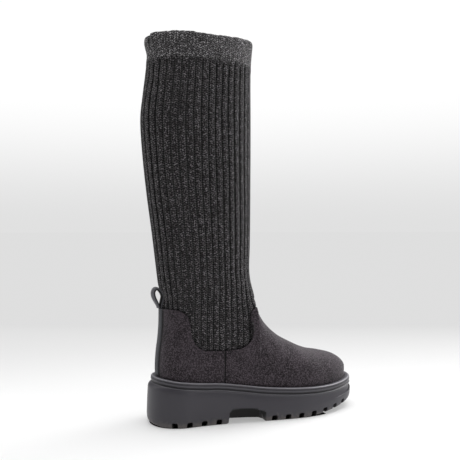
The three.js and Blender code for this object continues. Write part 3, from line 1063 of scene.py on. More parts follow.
@dataclass
class LugSole(Part):
    """Moulded unit sole. A grid of columns round the foot plan and rows down the side; lug gaps, arch
    and channels lift the grid's lowest points to their ceilings."""

    # x that a run of lug gaps is counted from, distance to its first gap, pitch and number of gaps
    lug_rows: Rows = ((-16.4, 0, 18.4, 4), (97, 10.9, 17.9, 7))
    gap_width: float = 7.0
    gap_height: float = 6.8
    gap_depth: float = 13.0
    # columns over a gap, in halves of its width
    gap_columns: Sequence[float] = (
        -1.03, -1.0, -0.97, -0.9, -0.78, -0.6, -0.4, -0.2, 0, 0.2, 0.4, 0.6, 0.78, 0.9, 0.97, 1, 1.03,
    )
    arch_columns: Sequence[float] = (-0.4, -0.1, 0.1, 0.5, 1.1)
    toe_from: float = 182.0
    toe_depth: float = 7.0
    column_step: float = 1.3
    line_samples: int = 1500
    arch_from: float = 50.0
    arch_to: float = 97.0
    # x and height of the arch; x and the two sides of the waist inside it
    arch_rows: Rows = ((49.9, -1), (51, 13), (55, 16.5), (66, 17.5), (82, 16.5), (96.5, 12), (97.1, -1))
    waist_rows: Rows = ((40, -18, 14), (58, -20, 13), (78, -25, 15), (100, -33, 22))
    waist_low: float = 0.9
    # x and half length of each channel across the tread
    channels: Rows = ((14, 14), (32, 14), (112, 22), (130.4, 22), (148.8, 22), (167.2, 22))
    channel_half: float = 3.0
    channel_depth: float = 2.4
    print_inset: float = 3.0
    print_lift: float = 0.03
    print_to: float = 182.0
    # height from the rim, line it is measured from, how far it stands out, painted shade of its groove (or
    # below 0, painted highlight)
    bead_rows: Sequence[tuple] = (
        (-7, Line.FELT, 0.5, 0), (-0.3, Line.FELT, 0.5, 0), (0, Line.FELT, 0.8, 0),
        (0, Line.RIM, -2.3, -0.3), (-0.3, Line.RIM, -1.3, -1.0), (-0.9, Line.RIM, -0.55, -0.25),
        (-1.6, Line.RIM, -0.12, 0), (-2.3, Line.RIM, -0.05, 0), (-2.6, Line.RIM, -0.45, 0.75),
        (-2.95, Line.RIM, -0.45, 0.75), (-3.3, Line.RIM, -0.05, -0.1), (-4.2, Line.RIM, 0.1, -0.1),
        (-5.2, Line.RIM, -0.05, 0), (-5.7, Line.RIM, -0.5, 0), (-6.2, Line.RIM, -1.15, 0.9),
        (-7.1, Line.RIM, -1.15, 0.9), (-7.8, Line.RIM, -0.5, 0), (-8.4, Line.RIM, 0.2, -0.3),
    )
    # rows of the side: below 0 they are measured from the rim, else from the underside
    wall_rows: Sequence[tuple] = (
        (-8.4, Line.RIM, 0.2), (-11, Line.BODY, -2.2), (-17, Line.BODY, -1.0), (12, Line.BODY, 0),
        (4, Line.BODY, -0.5), (1.2, Line.BODY, -1.7), (0, Line.BODY, -4),
    )
    span_rows: int = 5
    sides: dict = field(default_factory=dict)

    def under_depths(self) -> list[float]:
        """Distances in from the edge of the underside's rows."""
        return [6.5, 9.5, self.gap_depth - 0.12, self.gap_depth + 0.12]

    def side_columns(self, sign: float) -> tuple[Array, Array]:
        """Columns along one side of the body's edge; the side's line is kept in `sides`.

        Args:
            sign: -1 for the outer side, 1 for the inner one.

        Returns:
            Distances of the columns and of the lug gaps' middles.
        """
        count = self.line_samples
        line = self.last.outline(np.pi * (np.arange(count) + 0.5) / count, sign)
        along = unit(np.gradient(line, axis=0))
        out = np.stack([along[:, 1], -along[:, 0]], axis=-1) * -sign
        edge = line + out * self.last.body_out(line[:, 0])[:, None]
        run = lengths(edge)
        # short of the toe's end, where x turns back
        known = slice(0, count - 100)
        starts = [np.interp(row[0], edge[known, 0], run[known]) + row[1] for row in self.lug_rows]
        gaps = np.concatenate([s + row[2] * np.arange(row[3]) for s, row in zip(starts, self.lug_rows)])
        half = self.gap_width / 2
        columns = (gaps[:, None] + np.array(self.gap_columns) * half).ravel()
        walls = [np.interp(x, edge[known, 0], run[known]) for x in (self.arch_from, self.arch_to)]
        offsets = np.array(self.arch_columns)
        walls = np.concatenate([walls[0] + offsets, walls[1] - offsets])
        base = np.append(np.arange(0.0, run[-1], self.column_step), run[-1])
        near = np.min(np.abs(base[:, None] - np.concatenate([gaps, walls])[None]), axis=1)
        base = base[(near > half * 1.15) | (base == 0) | (base == run[-1])]
        self.sides[sign] = (run, np.concatenate([line, out], axis=-1))
        return np.sort(np.concatenate([columns, walls, base])), gaps

    def columns_round(self) -> tuple[Array, Array, Array]:
        """Columns of both sides, as many on each, one side after the other.

        Returns:
            (n, 2) points of the plan, outward directions, and the height of the lug gap at each column,
            negative between gaps.
        """
        (outer, outer_gaps), (inner, inner_gaps) = self.side_columns(-1), self.side_columns(1)
        while len(outer) != len(inner):
            short = outer if len(outer) < len(inner) else inner
            widest = int(np.argmax(np.diff(short)))
            longer = np.insert(short, widest + 1, (short[widest] + short[widest + 1]) / 2)
            outer, inner = (longer, inner) if short is outer else (outer, longer)
        parts, arches = [], []
        for sign, columns, gaps in ((-1, outer, outer_gaps), (1, inner, inner_gaps)):
            run, made = self.sides[sign]
            part = np.stack([np.interp(columns, run, made[:, k]) for k in range(4)], axis=-1)
            off = np.min(np.abs(columns[:, None] - gaps[None]), axis=1) / (self.gap_width / 2)
            arch = self.gap_height * (1 - 0.22 * np.clip(off, 0, 1) ** 6)
            parts.append(part[::-sign])
            arches.append(np.where(off <= 1.001, arch, -1)[::-sign])
        made = np.concatenate(parts)
        return made[:, :2], unit(made[:, 2:]), np.concatenate(arches)

    def build(self) -> Piece:
        """Build the sole. The floor of the well and the middle of the underside are closed straight
        across.

        Returns:
            The piece.
        """
        point, out, arch = self.columns_round()
        bead = [self.ring(point, out, *row[:3]) for row in self.bead_rows]
        knots = np.stack([self.ring(point, out, *row).ravel() for row in self.wall_rows])
        wall = spline(knots, self.span_rows).reshape(-1, len(point), 3)[1:]
        grid = np.stack([*bead, *wall, *self.underside(point, out)])
        low_rows = np.arange(len(grid)) >= len(bead) + self.span_rows
        raised = self.lift(grid, arch, low_rows)
        well, middle = self.across(grid[0], 2), self.across(grid[-1], 8)
        middle[..., 2] = self.ceiling(middle)
        points, faces = join((grid, True, False), (well, False, True), (middle, False, False))
        # painted shade in the bead's grooves and on the raised underside of lug gaps, arch and channels;
        # painted highlight on the bead's top edge
        hollow = np.zeros(grid.shape[:2])
        hollow[: len(bead)] = np.array([row[3] for row in self.bead_rows])[:, None]
        hollow[low_rows] = np.where(raised, 1.0, hollow[low_rows])
        # painted shade on the gaps' end walls: the third row from the inside, and further out at the toe
        toe = grid[-3, :, 0] > self.toe_from
        hollow[-3, arch > 0] = 1.0
        hollow[-5, (arch > 0) & toe] = 1.0
        hollow = np.append(hollow, np.zeros(len(points) - hollow.size))
        return put("sole", points, faces, hollow, sharp=38)

    def painted_shadow_sheets(self) -> list[Array]:
        """Heel and forefoot as they stand on the floor: the sheets that paint the floor's shadow under the
        sole.

        Returns:
            (2, n, 3) for each: the two sides of a sheet.
        """
        edges = []
        for _, made in (self.sides[sign] for sign in (-1, 1)):
            reach = self.last.body_out(made[:, 0]) - self.print_inset
            flat = made[:, :2] + made[:, 2:] * reach[:, None]
            edges.append(np.column_stack([flat, np.full(len(flat), self.print_lift)]))
        both = np.stack(edges)
        low, high = both[..., 0].max(axis=0), both[..., 0].min(axis=0)
        heel, fore = low < self.arch_from - 0.6, (high > self.arch_to + 0.6) & (low < self.print_to)
        return [both[:, heel], both[:, fore]]

    def ring(self, point: Array, out: Array, up: float, line: Line, outset: float) -> Array:
        """One row of the profile.

        Args:
            point: (n, 2) points of the plan.
            out: (n, 2) outward directions.
            up: height above the rim, or above the underside for a body row of 0 or more.
            line: outline that the row is measured from.
            outset: how far the row stands out from it.

        Returns:
            (n, 3) points.
        """
        last, x = self.last, point[:, 0]
        if line is Line.FELT:
            tuck = (last.widest_lift - last.well_depth - up) / last.widest_lift
            middle = last.middle(x)
            point = np.stack([x, middle + (point[:, 1] - middle) * (1 - last.tuck_share * tuck**2)], axis=-1)
        overhang = {Line.FELT: 0 * x, Line.RIM: last.made["rim_out"](x), Line.BODY: last.body_out(x)}
        moved = point + out * (overhang[line] + outset)[:, None]
        from_rim = line is not Line.BODY or up < 0
        height = (last.rim if from_rim else last.under)(moved[:, 0]) + up
        return np.column_stack([moved, height])

    def underside(self, point: Array, out: Array) -> list[Array]:
        """Rows of the underside, in from the edge: past the lug gaps' ends and across the waist's side.

        Args:
            point: (n, 2) points of the plan.
            out: (n, 2) outward directions.

        Returns:
            (n, 3) points of each row.
        """
        edge = point + out * self.last.body_out(point[:, 0])[:, None]
        waist = np.array(self.waist_rows)
        x = np.clip(edge[:, 0], 52, 95)
        outer, inner = (np.interp(x, waist[:, 0], waist[:, k]) for k in (1, 2))
        target = np.where(out[:, 1] < 0, -outer, inner)
        reach = (np.abs(edge[:, 1]) - target) / np.maximum(np.abs(out[:, 1]), 0.3)
        reach = np.clip(reach, self.gap_depth + 1.2, 26)
        made = []
        for depth in (*self.under_depths(), reach - 0.15, reach + 0.15):
            flat = edge - out * np.broadcast_to(depth, len(edge))[:, None]
            made.append(np.column_stack([flat, self.last.under(flat[:, 0])]))
        return made

    def lift(self, grid: Array, arch: Array, low_rows: Array) -> Array:
        """Raise the lowest rows to the ceilings of the lug gaps, the arch and the channels.

        Args:
            grid: (rows, cols, 3), changed in place.
            arch: (cols,) height of the lug gap, negative between gaps.
            low_rows: rows that may be raised.

        Returns:
            Which points of those rows were raised.
        """
        rows = np.flatnonzero(low_rows)
        inward = [*self.under_depths(), np.inf, np.inf]
        depth = np.append(np.zeros(len(grid) - len(inward)), inward)
        part = grid[rows]
        gap_end = np.where(part[..., 0] > self.toe_from, self.toe_depth, self.gap_depth)
        in_gap = (depth[rows][:, None] < gap_end) & (arch[None] > 0)
        gap = np.where(in_gap, self.last.under(part[..., 0]) + arch[None], -1)
        height = np.maximum(self.ceiling(part), gap)
        raised = height - part[..., 2] > 0.4
        grid[rows, :, 2] = height
        return raised

    def ceiling(self, points: Array) -> Array:
        """Height of the sole's underside over given points: their own, or the arch's, the waist's and
        the channels' where those are higher.

        Args:
            points: (rows, cols, 3).

        Returns:
            (rows, cols) heights.
        """
        x, y, z = points[..., 0], points[..., 1], points[..., 2]
        waist, profile = np.array(self.waist_rows), np.array(self.arch_rows)
        arch = np.interp(x, profile[:, 0], profile[:, 1])
        low, high = (np.interp(x, waist[:, 0], waist[:, k]) for k in (1, 2))
        in_waist = (y > low) & (y < high)
        height = np.maximum(z, np.where(in_waist, np.minimum(arch, self.waist_low), arch))
        for x_mid, half in self.channels:
            cut = (np.abs(x - x_mid) < self.channel_half) & (np.abs(y) < half)
            height = np.where(cut, np.maximum(height, self.channel_depth), height)
        return height

    def across(self, ring: Array, steps: int) -> Array:
        """Sheet between the two sides of a ring, straight across; at heel and toe it has one step.

        Args:
            ring: (2 n, 3) points, one side after the other.
            steps: steps across.

        Returns:
            (steps + 1, n, 3) points.
        """
        half = len(ring) // 2
        a, b = ring[:half], ring[half:][::-1]
        t = np.linspace(0, 1, steps + 1)[:, None, None] * np.ones((half, 1))
        t[:, [0, -1]] = np.round(t[:, [0, -1]])
        return a[None] * (1 - t) + b[None] * t


# felt foot


@dataclass
class FeltFoot(Part):
    """Felt foot. Each half is a grid in the side view: columns rise from the sole to the top edge or to
    the instep line, and the form's half width puts each point in its place."""

    columns: int = 330
    rows: int = 62
    fine_rows: int = 260
    wall: float = 2.5
    seam_x: float = 48.0
    seam_to: float = 89.0
    seam_columns: Sequence[float] = (-1.0, -0.6, -0.3, 0, 0.3, 0.6, 1.0)
    strip_edge: float = 7.9
    toe_z: float = 44.0
    # number of the row of the last's top edge, and x of the sole under it
    bottom_x: Rows = (
        (1, -19), (2, -12), (3, -6), (4, 0.5), (5, 7), (6, 13), (7, 19), (8, 26), (9, 40), (10, 57),
        (11, 67), (12, 78), (13, 90), (14, 96), (15, 101), (16, 106), (17, 111),
    )
    # soft troughs and ridges of one side: ends in the side view, width, depth
    folds: Rows = (
        (88, 118, 118, 84, 7, -1.2), (100, 108, 128, 82, 6, 0.8), (112, 108, 142, 76, 8, -1.0),
        (126, 98, 156, 70, 7, 0.6), (-8, 118, 6, 84, 9, -0.7), (20, 80, 60, 74, 9, 0.5),
        (168, 74, 190, 58, 12, -0.8),
    )

    def edges(self) -> tuple[Array, Array, Array, float]:
        """Upper edge of the side view, from the heel along the top edge and down the instep to the toe.

        Returns:
            (n, 2) points, x of the sole under each, 1 for each on the open top edge and 0 on the
            instep, and the distance along the edge to the side seam.
        """
        last = self.last
        full = spline(last.top_rows)
        number = np.linspace(0, len(last.top_rows) - 1, len(full))
        inside = (full[:, 0] > last.back(full[:, 1])) & (full[:, 0] < last.front(full[:, 1]))
        top, number = full[inside], number[inside]
        table = np.array(self.bottom_x)
        base = np.interp(number, table[:, 0], table[:, 1])
        start = np.array([last.back(top[0, 1]), top[0, 1]])
        first = number < 1
        base[first] = np.interp(top[first, 0], [start[0], -16], [-27.4, -19])
        ridge_z = np.linspace(top[-1, 1], self.toe_z, 600)
        ridge = np.stack([last.front(ridge_z), ridge_z], axis=-1)
        run = lengths(ridge)
        ridge_base = 112 + (last.toe_x - 112) * (run / run[-1]) ** 0.96
        upper = np.vstack([start, top, ridge])
        lower_x = np.concatenate([[-27.37], base, ridge_base])
        open_top = np.concatenate([np.ones(len(top) + 1), np.zeros(len(ridge))])
        near = (number > 8) & (number < 11)
        seam = np.interp(self.seam_x, top[near, 0], lengths(upper)[1 : len(top) + 1][near])
        return upper, lower_x, open_top, float(seam)

    def side_grid(self) -> tuple[Array, Array, Array]:
        """The side view's grid. Its first column follows the back line, and its neighbours bend less
        and less.

        Returns:
            (columns, rows, 2) points from the top down, whether each column ends at the open top edge,
            and each column's distance from the seam.
        """
        upper, lower_x, open_top, seam = self.edges()
        run = lengths(upper)
        density = np.minimum(np.minimum(1, np.linspace(0.02, 12, 400)), np.linspace(22, 0.02, 400))
        share = np.concatenate([[0], np.cumsum(density)])
        even = np.linspace(0, 1, self.columns)
        share = np.interp(even, np.linspace(0, 1, len(share)), share / share[-1])
        corner = run[int(open_top.sum())]
        at = np.sort(np.concatenate([share * run[-1], seam + np.array(self.seam_columns), [corner]]))
        upper_at = np.stack([np.interp(at, run, upper[:, k]) for k in range(2)], axis=-1)
        x_low = np.interp(at, run, lower_x)
        lower_at = np.stack([x_low, self.last.floor(x_low) + 0.3], axis=-1)
        is_open = np.interp(at, run, open_top) > 0.999
        t = (1 - np.cos(np.linspace(0, np.pi, self.fine_rows))) / 2
        grid = upper_at[:, None] * (1 - t[None, :, None]) + lower_at[:, None] * t[None, :, None]
        bend = np.stack([self.last.back(grid[0, :, 1]) - grid[0, :, 0], 0 * t], axis=-1)
        grid += bend[None] * np.clip(1 - at / run[-1] / 0.3, 0, 1)[:, None, None]
        return grid, is_open, at - seam

    def closed_width(
        self, x: Array, z: Array, is_open: Array, outside: Array | float
    ) -> tuple[Array, Array]:
        """Half width and middle, with both halves brought together on the back, instep and toe lines.

        Args:
            x: points' x, (columns, rows).
            z: points' z.
            is_open: whether each column ends at the open top edge.
            outside: half width for points outside the form.

        Returns:
            Half width and the middle's y.
        """
        half, middle = self.last.width(x, z)
        half = np.where(half < 0, outside, half)
        half[[0, -1]] = 0
        half[~is_open, 0] = 0
        return half, middle

    def pressed(self, x: Array, z: Array, half: Array, from_seam: Array) -> tuple[Array, Array]:
        """Relief of one side: the rolled edge, the seam and the folds.

        Args:
            x: points' x, (columns, rows).
            z: points' z.
            half: points' half width.
            from_seam: each column's distance from the seam.

        Returns:
            How far each point moves out, and its painted shade, 0 to 1: in the seam, along the top edge and
            beside the back strip.
        """
        from_top = np.where(z > 80, np.abs(to_line(x, z, self.last.top_line())), 60.0)
        column = np.broadcast_to(from_seam[:, None], x.shape)
        has_seam = z < self.seam_to
        local = 0.25 * np.clip(1 - ((from_top - 1.5) / 1.5) ** 2, 0, 1) - 0.12 * bell(from_top - 3.2, 0.45)
        local = local + (0.35 * bell(column - 1.6, 0.9) - 0.55 * bell(column, 0.62)) * has_seam
        folds = np.zeros(x.shape)
        for *ends, width, depth in self.folds:
            away, t = segment(x, z, ends)
            folds += depth * bell(away, width) * (1 - 0.6 * np.abs(2 * t - 1))
        fade = smooth(z - self.last.rim(x), 1.5, 12) * smooth(from_top, 2, 12)
        # painted shade in the seam's groove, along the rolled top edge and in the back strip's shadow
        dark = 1.1 * bell(column, 0.85) * has_seam
        dark = dark + 0.15 * bell(from_top - 3.2, 0.4) + 0.8 * bell(from_top, 0.3)
        behind = (x < 0) & (np.arange(len(x)) < len(x) / 3)[:, None]
        beside_strip = bell(half - self.strip_edge, 1.2) * behind
        return local + folds * fade, np.maximum(np.clip(dark, 0, 1), beside_strip)

    def build(self) -> Piece:
        """Build both halves, weld them on the back, instep and toe lines and press the folds in.

        Returns:
            The piece.
        """
        side, is_open, from_seam = self.side_grid()
        half, middle = self.closed_width(side[..., 0], side[..., 1], is_open, 0.0)
        fine = np.stack([side[..., 0], half, side[..., 1], middle], axis=-1)
        share = np.linspace(0, 1, self.rows) ** 1.45
        made = spread(fine, np.broadcast_to(share, (len(fine), self.rows)))
        x, z = made[..., 0], made[..., 2]
        half, middle = self.closed_width(x, z, is_open, made[..., 1])
        half[half < 0.002] = 0
        sides = [np.stack([x, middle + sign * half, z], axis=-1).reshape(-1, 3) for sign in (-1, 1)]
        points = np.concatenate(sides)
        faces, _ = grid_faces(*x.shape, False)
        # where both halves lie on the middle plane neither is needed
        faces = faces[half.ravel()[faces].max(axis=1) > 0]
        quads = np.concatenate([faces, faces[:, ::-1] + x.size])
        relief, dark = (np.tile(values.ravel(), 2) for values in self.pressed(x, z, half, from_seam))
        kept, _ = weld(points, quads)
        piece = put("felt_upper", points, quads, dark, outward=False)
        normal = normals_of(piece)
        centre = np.array([60.0, 0, 60.0])
        if np.mean(np.sum(normal * (points[kept] - centre), axis=1) > 0) < 0.5:
            piece.data.flip_normals()
            normal = -normal
        moved = (points[kept] + normal * relief[kept][:, None]) * MM
        piece.data.vertices.foreach_set("co", moved.astype(np.float32).ravel())
        piece.data.update()
        wall = piece.modifiers.new("wall", "SOLIDIFY")
        wall.thickness = self.wall * MM
        wall.offset = -1
        return piece


def normals_of(piece: Piece) -> Array:
    """Vertex normals of a piece.

    Args:
        piece: the piece.

    Returns:
        (n, 3) unit vectors.
    """
    out = np.empty(len(piece.data.vertices) * 3, np.float32)
    piece.data.vertex_normals.foreach_get("vector", out)
    return out.reshape(-1, 3).astype(float)


# knit


@dataclass(frozen=True)
class Ribs:
    """Ribs round the leg: a rounded crest between narrow grooves."""

    count: int = 40
    crest: float = 0.45
    groove: float = 1.8
    groove_width: float = 0.1
    columns: Sequence[float] = (0, 0.035, 0.08, 0.15, 0.26, 0.38, 0.5, 0.62, 0.74, 0.85, 0.92, 0.965)

    def shares(self) -> Array:
        """Shares of the way round, closer together at each groove."""
        return ((np.arange(self.count)[:, None] + np.array(self.columns)) / self.count).ravel()

    def depth(self, share: Array) -> tuple[Array, Array]:
        """Depth below the crests: a parabola across the rib and a narrow bell at each groove.

        Args:
            share: shares of the way round.

        Returns:
            Depth in millimetres and the groove's share, 0 to 1.
        """
        off = np.abs((share * self.count + 0.5) % 1 - 0.5)
        groove = bell(off, self.groove_width)
        return self.crest * (1 - 2 * off) ** 2 + self.groove * groove, groove


def back_share(share: Array) -> Array:
    """Soft share of the back, as the camera sees its outline: 1 there and 0 at the sides.

    Args:
        share: shares of the way round.

    Returns:
        The share, 0 to 1.
    """
    off = np.abs((share - 0.96 + 0.5) % 1 - 0.5)
    return bell(off, 0.11)


def cloth_across(share: Array) -> Array:
    """The knit's cloth map across, closed round."""
    return np.append(share, 1.0)[None] * GIRTH


@dataclass
class KnitShaft(Part):
    """Ribbed shaft, its lower end let in under the felt's top edge."""

    ribs: Ribs
    low: float = 84.0
    high: float = 440.7
    rows: int = 158
    inner_rows: int = 22
    wall: float = 3.2
    plain_from: float = 436.5
    # soft trough and ridge: ends in the side view, width, depth
    folds: Rows = ((-44, 437, -36, 405, 5, -0.9), (-40, 441, -28, 412, 6, 0.8))
    loop_z: float = 153.5
    cuff_z: float = 447.0

    def build(self) -> Piece:
        """Build the shaft as a closed double wall.

        Returns:
            The piece.
        """
        z = np.linspace(self.low, self.high, self.rows)
        height, columns = z[:, None], self.ribs.shares()
        share = np.broadcast_to(columns, (len(z), len(columns)))
        ring, out = self.last.leg_rings(z, np.clip(share + self.drift(share, height), 0, 1))
        distance = self.under_felt(ring)
        let_in = 1 - smooth(distance, -1.4, 0.6)
        depth, blend = self.depth(share, height)
        offset = -depth - 0.9 * (1 - smooth(height, 134, 160))
        offset = offset + 0.35 * np.sin(4 * np.pi * share + height / 50) * smooth(height, 200, 300)
        offset = offset - 2.6 * let_in - 0.7 * bell(distance, 2.0)
        for *ends, width, amount in self.folds:
            away, _ = segment(ring[..., 0], np.broadcast_to(height, share.shape), ends)
            offset = offset + amount * bell(away, width) * (ring[..., 1] < 5)
        offset = offset + self.drawn_in(share, height)
        outer = ring + out * offset[..., None]
        down = np.linspace(self.high, self.low, self.inner_rows)
        pick = np.round((down - self.low) / (self.high - self.low) * (len(z) - 1)).astype(int)
        thick = (self.wall + 1.4 * (1 - smooth(down, 134, 160)))[:, None]
        thick = thick + 2.2 * let_in[pick] * (distance[pick] < 50)
        grid = np.concatenate([outer, ring[pick] - out[pick] * thick[..., None]])
        v = np.concatenate([z, self.high + np.arange(1, len(down) + 2) * 10.0])[:, None]
        _, groove = self.ribs.depth(share)
        # painted shade in the rib grooves
        deep = np.concatenate([np.clip(groove * 2.4 * blend, 0, 1), np.zeros((len(down), len(columns)))])
        return put_tube("shaft", grid, cloth_across(columns), v, deep, closed=True)

    def drift(self, share: Array, height: Array) -> Array:
        """Slow sideways wander of the ribs, above the ankle alone.

        Args:
            share: (rows, cols) shares of the way round.
            height: (rows, 1) heights.

        Returns:
            (rows, cols) what is added to the shares.
        """
        turn = 2 * np.pi * share
        wander = 0.0011 * np.sin(3 * turn + height / 37) + 0.0008 * np.sin(7 * turn - height / 23 + 1)
        return wander * smooth(height, 190, 240)

    def depth(self, share: Array, height: Array) -> tuple[Array, Array]:
        """Depth of the ribs, which end at uneven heights below the cuff.

        Args:
            share: (rows, cols) shares of the way round.
            height: (rows, 1) heights.

        Returns:
            Depth below the crests, and 1 on the ribs to 0 on the plain knit.
        """
        number = np.round(share[:1] * self.ribs.count) % self.ribs.count
        start = self.plain_from + 1.6 * np.sin(number * 2.4) + 0.9 * np.sin(number * 5.1)
        blend = 1 - smooth(height, start - 1.2, start + 1.2)
        return self.ribs.depth(share)[0] * blend - 0.35 * (1 - blend), blend

    def under_felt(self, ring: Array) -> Array:
        """Distance above the felt's top edge, and far above it where that edge is out of reach.

        Args:
            ring: (rows, cols, 3) points.

        Returns:
            (rows, cols) distances.
        """
        low = ring[:, 0, 2] < 146
        distance = np.full(ring.shape[:2], 50.0)
        distance[low] = to_line(ring[low][..., 0], ring[low][..., 2], self.last.top_line())
        return distance

    def drawn_in(self, share: Array, height: Array) -> Array:
        """Offset where the loop draws the knit in at the back, and just under the cuff."""
        amount = 4.5 * bell(height - self.loop_z, 8.5) + 1.6 * bell(height - self.cuff_z, 12)
        return -back_share(share) * amount


@dataclass
class KnitCuff(Part):
    """Plain cuff, doubled over at the top."""

    ribs: Ribs
    fold_share: float = 0.03
    # height and distance out from the last, round the section
    profile: Rows = (
        (440.6, -0.9), (440.7, 0.1), (441.4, 0.38), (443.5, 0.5), (446, 0.6), (449, 0.7), (452, 0.8),
        (455, 0.85), (458, 0.85), (461, 0.8), (463.5, 0.75), (465.6, 0.65), (467.4, 0.4), (468.8, 0.0),
        (469.8, -0.6), (470.3, -1.5), (470.1, -2.4), (469.4, -3.0), (468.2, -3.3), (466, -3.5),
        (462, -3.8), (456, -4.2), (448, -4.2), (438, -4.2), (438.4, -3.4), (440.2, -2.4),
    )
    # places round the top edge: share of the way round, lift there
    edge: Rows = (
        (0.0, -2.4), (0.022, -1.8), (0.038, 0.0), (0.07, 0.5), (0.12, 1.0), (0.17, 1.3), (0.21, 0.5),
        (0.25, -0.6), (0.3, 0.0), (0.35, 1.0), (0.4, 2.4), (0.44, 3.2), (0.48, 3.2), (0.53, 2.0),
        (0.6, 0.5), (0.7, -0.3), (0.8, 0.1), (0.88, -0.6), (0.94, -1.8), (0.97, -2.4), (1.0, -2.4),
    )

    def build(self) -> Piece:
        """Build the cuff as a closed ring with an uneven, soft top edge and a fold at the back.

        Returns:
            The piece.
        """
        section = spline([*self.profile, self.profile[0]], 3)[:-1]
        z, out_by = section[:, :1], section[:, 1:]
        share = self.ribs.shares()
        turn = 2 * np.pi * share
        ring, out = self.last.leg_rings(z[:, 0], np.broadcast_to(share, (len(z), len(share))))
        upper = smooth(z, 444, 468)
        wave = 0.5 * np.sin(4 * turn + 1.2) + 0.3 * np.sin(9 * turn) + 0.16 * np.sin(23 * turn + 0.4)
        from_fold = share - self.fold_share
        wave = wave - 2.2 * bell(from_fold, 0.007) + 1.0 * bell(from_fold - 0.018, 0.01)
        drawn = -1.7 * back_share(share) * bell(z - 449, 9)
        grid = ring + out * (out_by + wave * upper + drawn)[..., None]
        rise = curve(self.edge, 0, 1)(share) + 0.22 * np.sin(17 * turn + 0.6)
        rise = rise + 0.16 * np.sin(31 * turn + 2.0) + 0.12 * np.sin(53 * turn)
        grid[..., 2] += rise * smooth(z, 448, 470)
        run = lengths(section)
        outside = (np.arange(len(z)) < len(z) * 0.6)[:, None]
        # painted shade in the fold at the back, on the outer face
        deep = 0.9 * bell(from_fold, 0.006) * upper * outside
        v = np.append(run, run[-1] + 1)[:, None]
        return put_tube("cuff", grid, cloth_across(share), v, deep, closed=True)


# trims


@dataclass
class BackStay(Part):
    """Strip over the heel seam: a flat section with rounded edges carried up the back of the felt."""

    low: float = 58.9
    high: float = 139.2
    rows: int = 110
    half: float = 6.5
    inside: float = 0.3
    outside: float = 1.6
    edge_drop: float = 0.5
    groove: float = 0.3
    groove_at: float = 0.78
    search: float = 25.0

    def build(self) -> Piece:
        """Build the strip.

        Returns:
            The piece.
        """
        last = self.last
        face = np.linspace(-1, 1, 41)
        groove = bell(np.abs(face) - self.groove_at, 0.04)
        rounded = self.edge_drop * np.clip((np.abs(face) - 0.9) / 0.1, 0, 1) ** 2
        inner = face[::-4]
        y_off = np.append(face, inner) * self.half
        h = np.append(self.outside - rounded - self.groove * groove, np.full(len(inner), self.inside))
        z = np.linspace(self.low, self.high, self.rows)[:, None] + 0 * y_off
        _, middle = last.width(last.back(z) + 3, z)
        y = middle + y_off

        def outside(x: Array) -> Array:
            """Whether the form is too narrow there."""
            half, mid = last.width(x, z)
            return half < np.abs(y - mid)

        _, x = halve(outside, last.back(z), last.back(z) + self.search)
        points = np.stack([x, y, z], axis=-1)
        front = points[:, : len(face)]
        normal = unit(np.cross(np.gradient(front, axis=0), np.gradient(front, axis=1)))
        normal *= np.sign(-normal[..., :1])
        normal = np.concatenate([normal, normal[:, ::-4]], axis=1)
        grid = capped(points + normal * h[None, :, None])
        v = np.concatenate([z[:1, 0], z[:, 0], z[-1:, 0]])[:, None]
        deep = np.append(0.5 * groove, np.zeros(len(inner)))
        return put_tube("back_strip", grid, np.append(y_off, y_off[0]), v, deep, sharp=50)


@dataclass
class PullLoop(Part):
    """Tape folded up the back of the shaft and down again."""

    half: float = 4.2
    # distance behind the back line, height and thickness
    rows: Rows = (
        (0.6, 139.9, 3.0), (0.2, 141.4, 3.0), (-1.2, 147, 3.0), (-2.9, 153.6, 3.0), (-1.4, 159.2, 3.3),
        (2.0, 163.0, 3.8), (5.6, 162.8, 4.3), (8.0, 158.8, 4.5), (7.8, 153.2, 4.5), (5.4, 147.2, 4.1),
        (3.1, 142.2, 3.4), (2.8, 139.9, 3.2),
    )

    def build(self) -> Piece:
        """Build the tape: a rounded flat section along the loop's line in the boot's middle plane.

        Returns:
            The piece.
        """
        behind, height, thick = np.array(self.rows).T
        knots = np.stack([self.last.back(height) - behind, height, thick], axis=-1)
        path, thick = np.split(spline(knots, 12), [2], axis=1)
        along = unit(np.gradient(path, axis=0))
        angle = np.linspace(0, 2 * np.pi, 33)[:-1]
        c, s = np.cos(angle), np.sin(angle)
        y = self.half * np.sign(c) * np.abs(c) ** 0.35
        h = thick / 2 * np.sign(s) * np.abs(s) ** 0.55
        x, z = path[:, [0]] - along[:, [1]] * h, path[:, [1]] + along[:, [0]] * h
        grid = capped(np.stack([x, np.broadcast_to(y, x.shape), z], axis=-1))
        run = lengths(path)
        v = np.concatenate([[0], run, run[-1:]])[:, None]
        # painted shade on the half of the tape that faces in
        return put_tube("loop_tape", grid, np.append(y, y[0]), v, 1.0 * (s > 0.1), sharp=60)


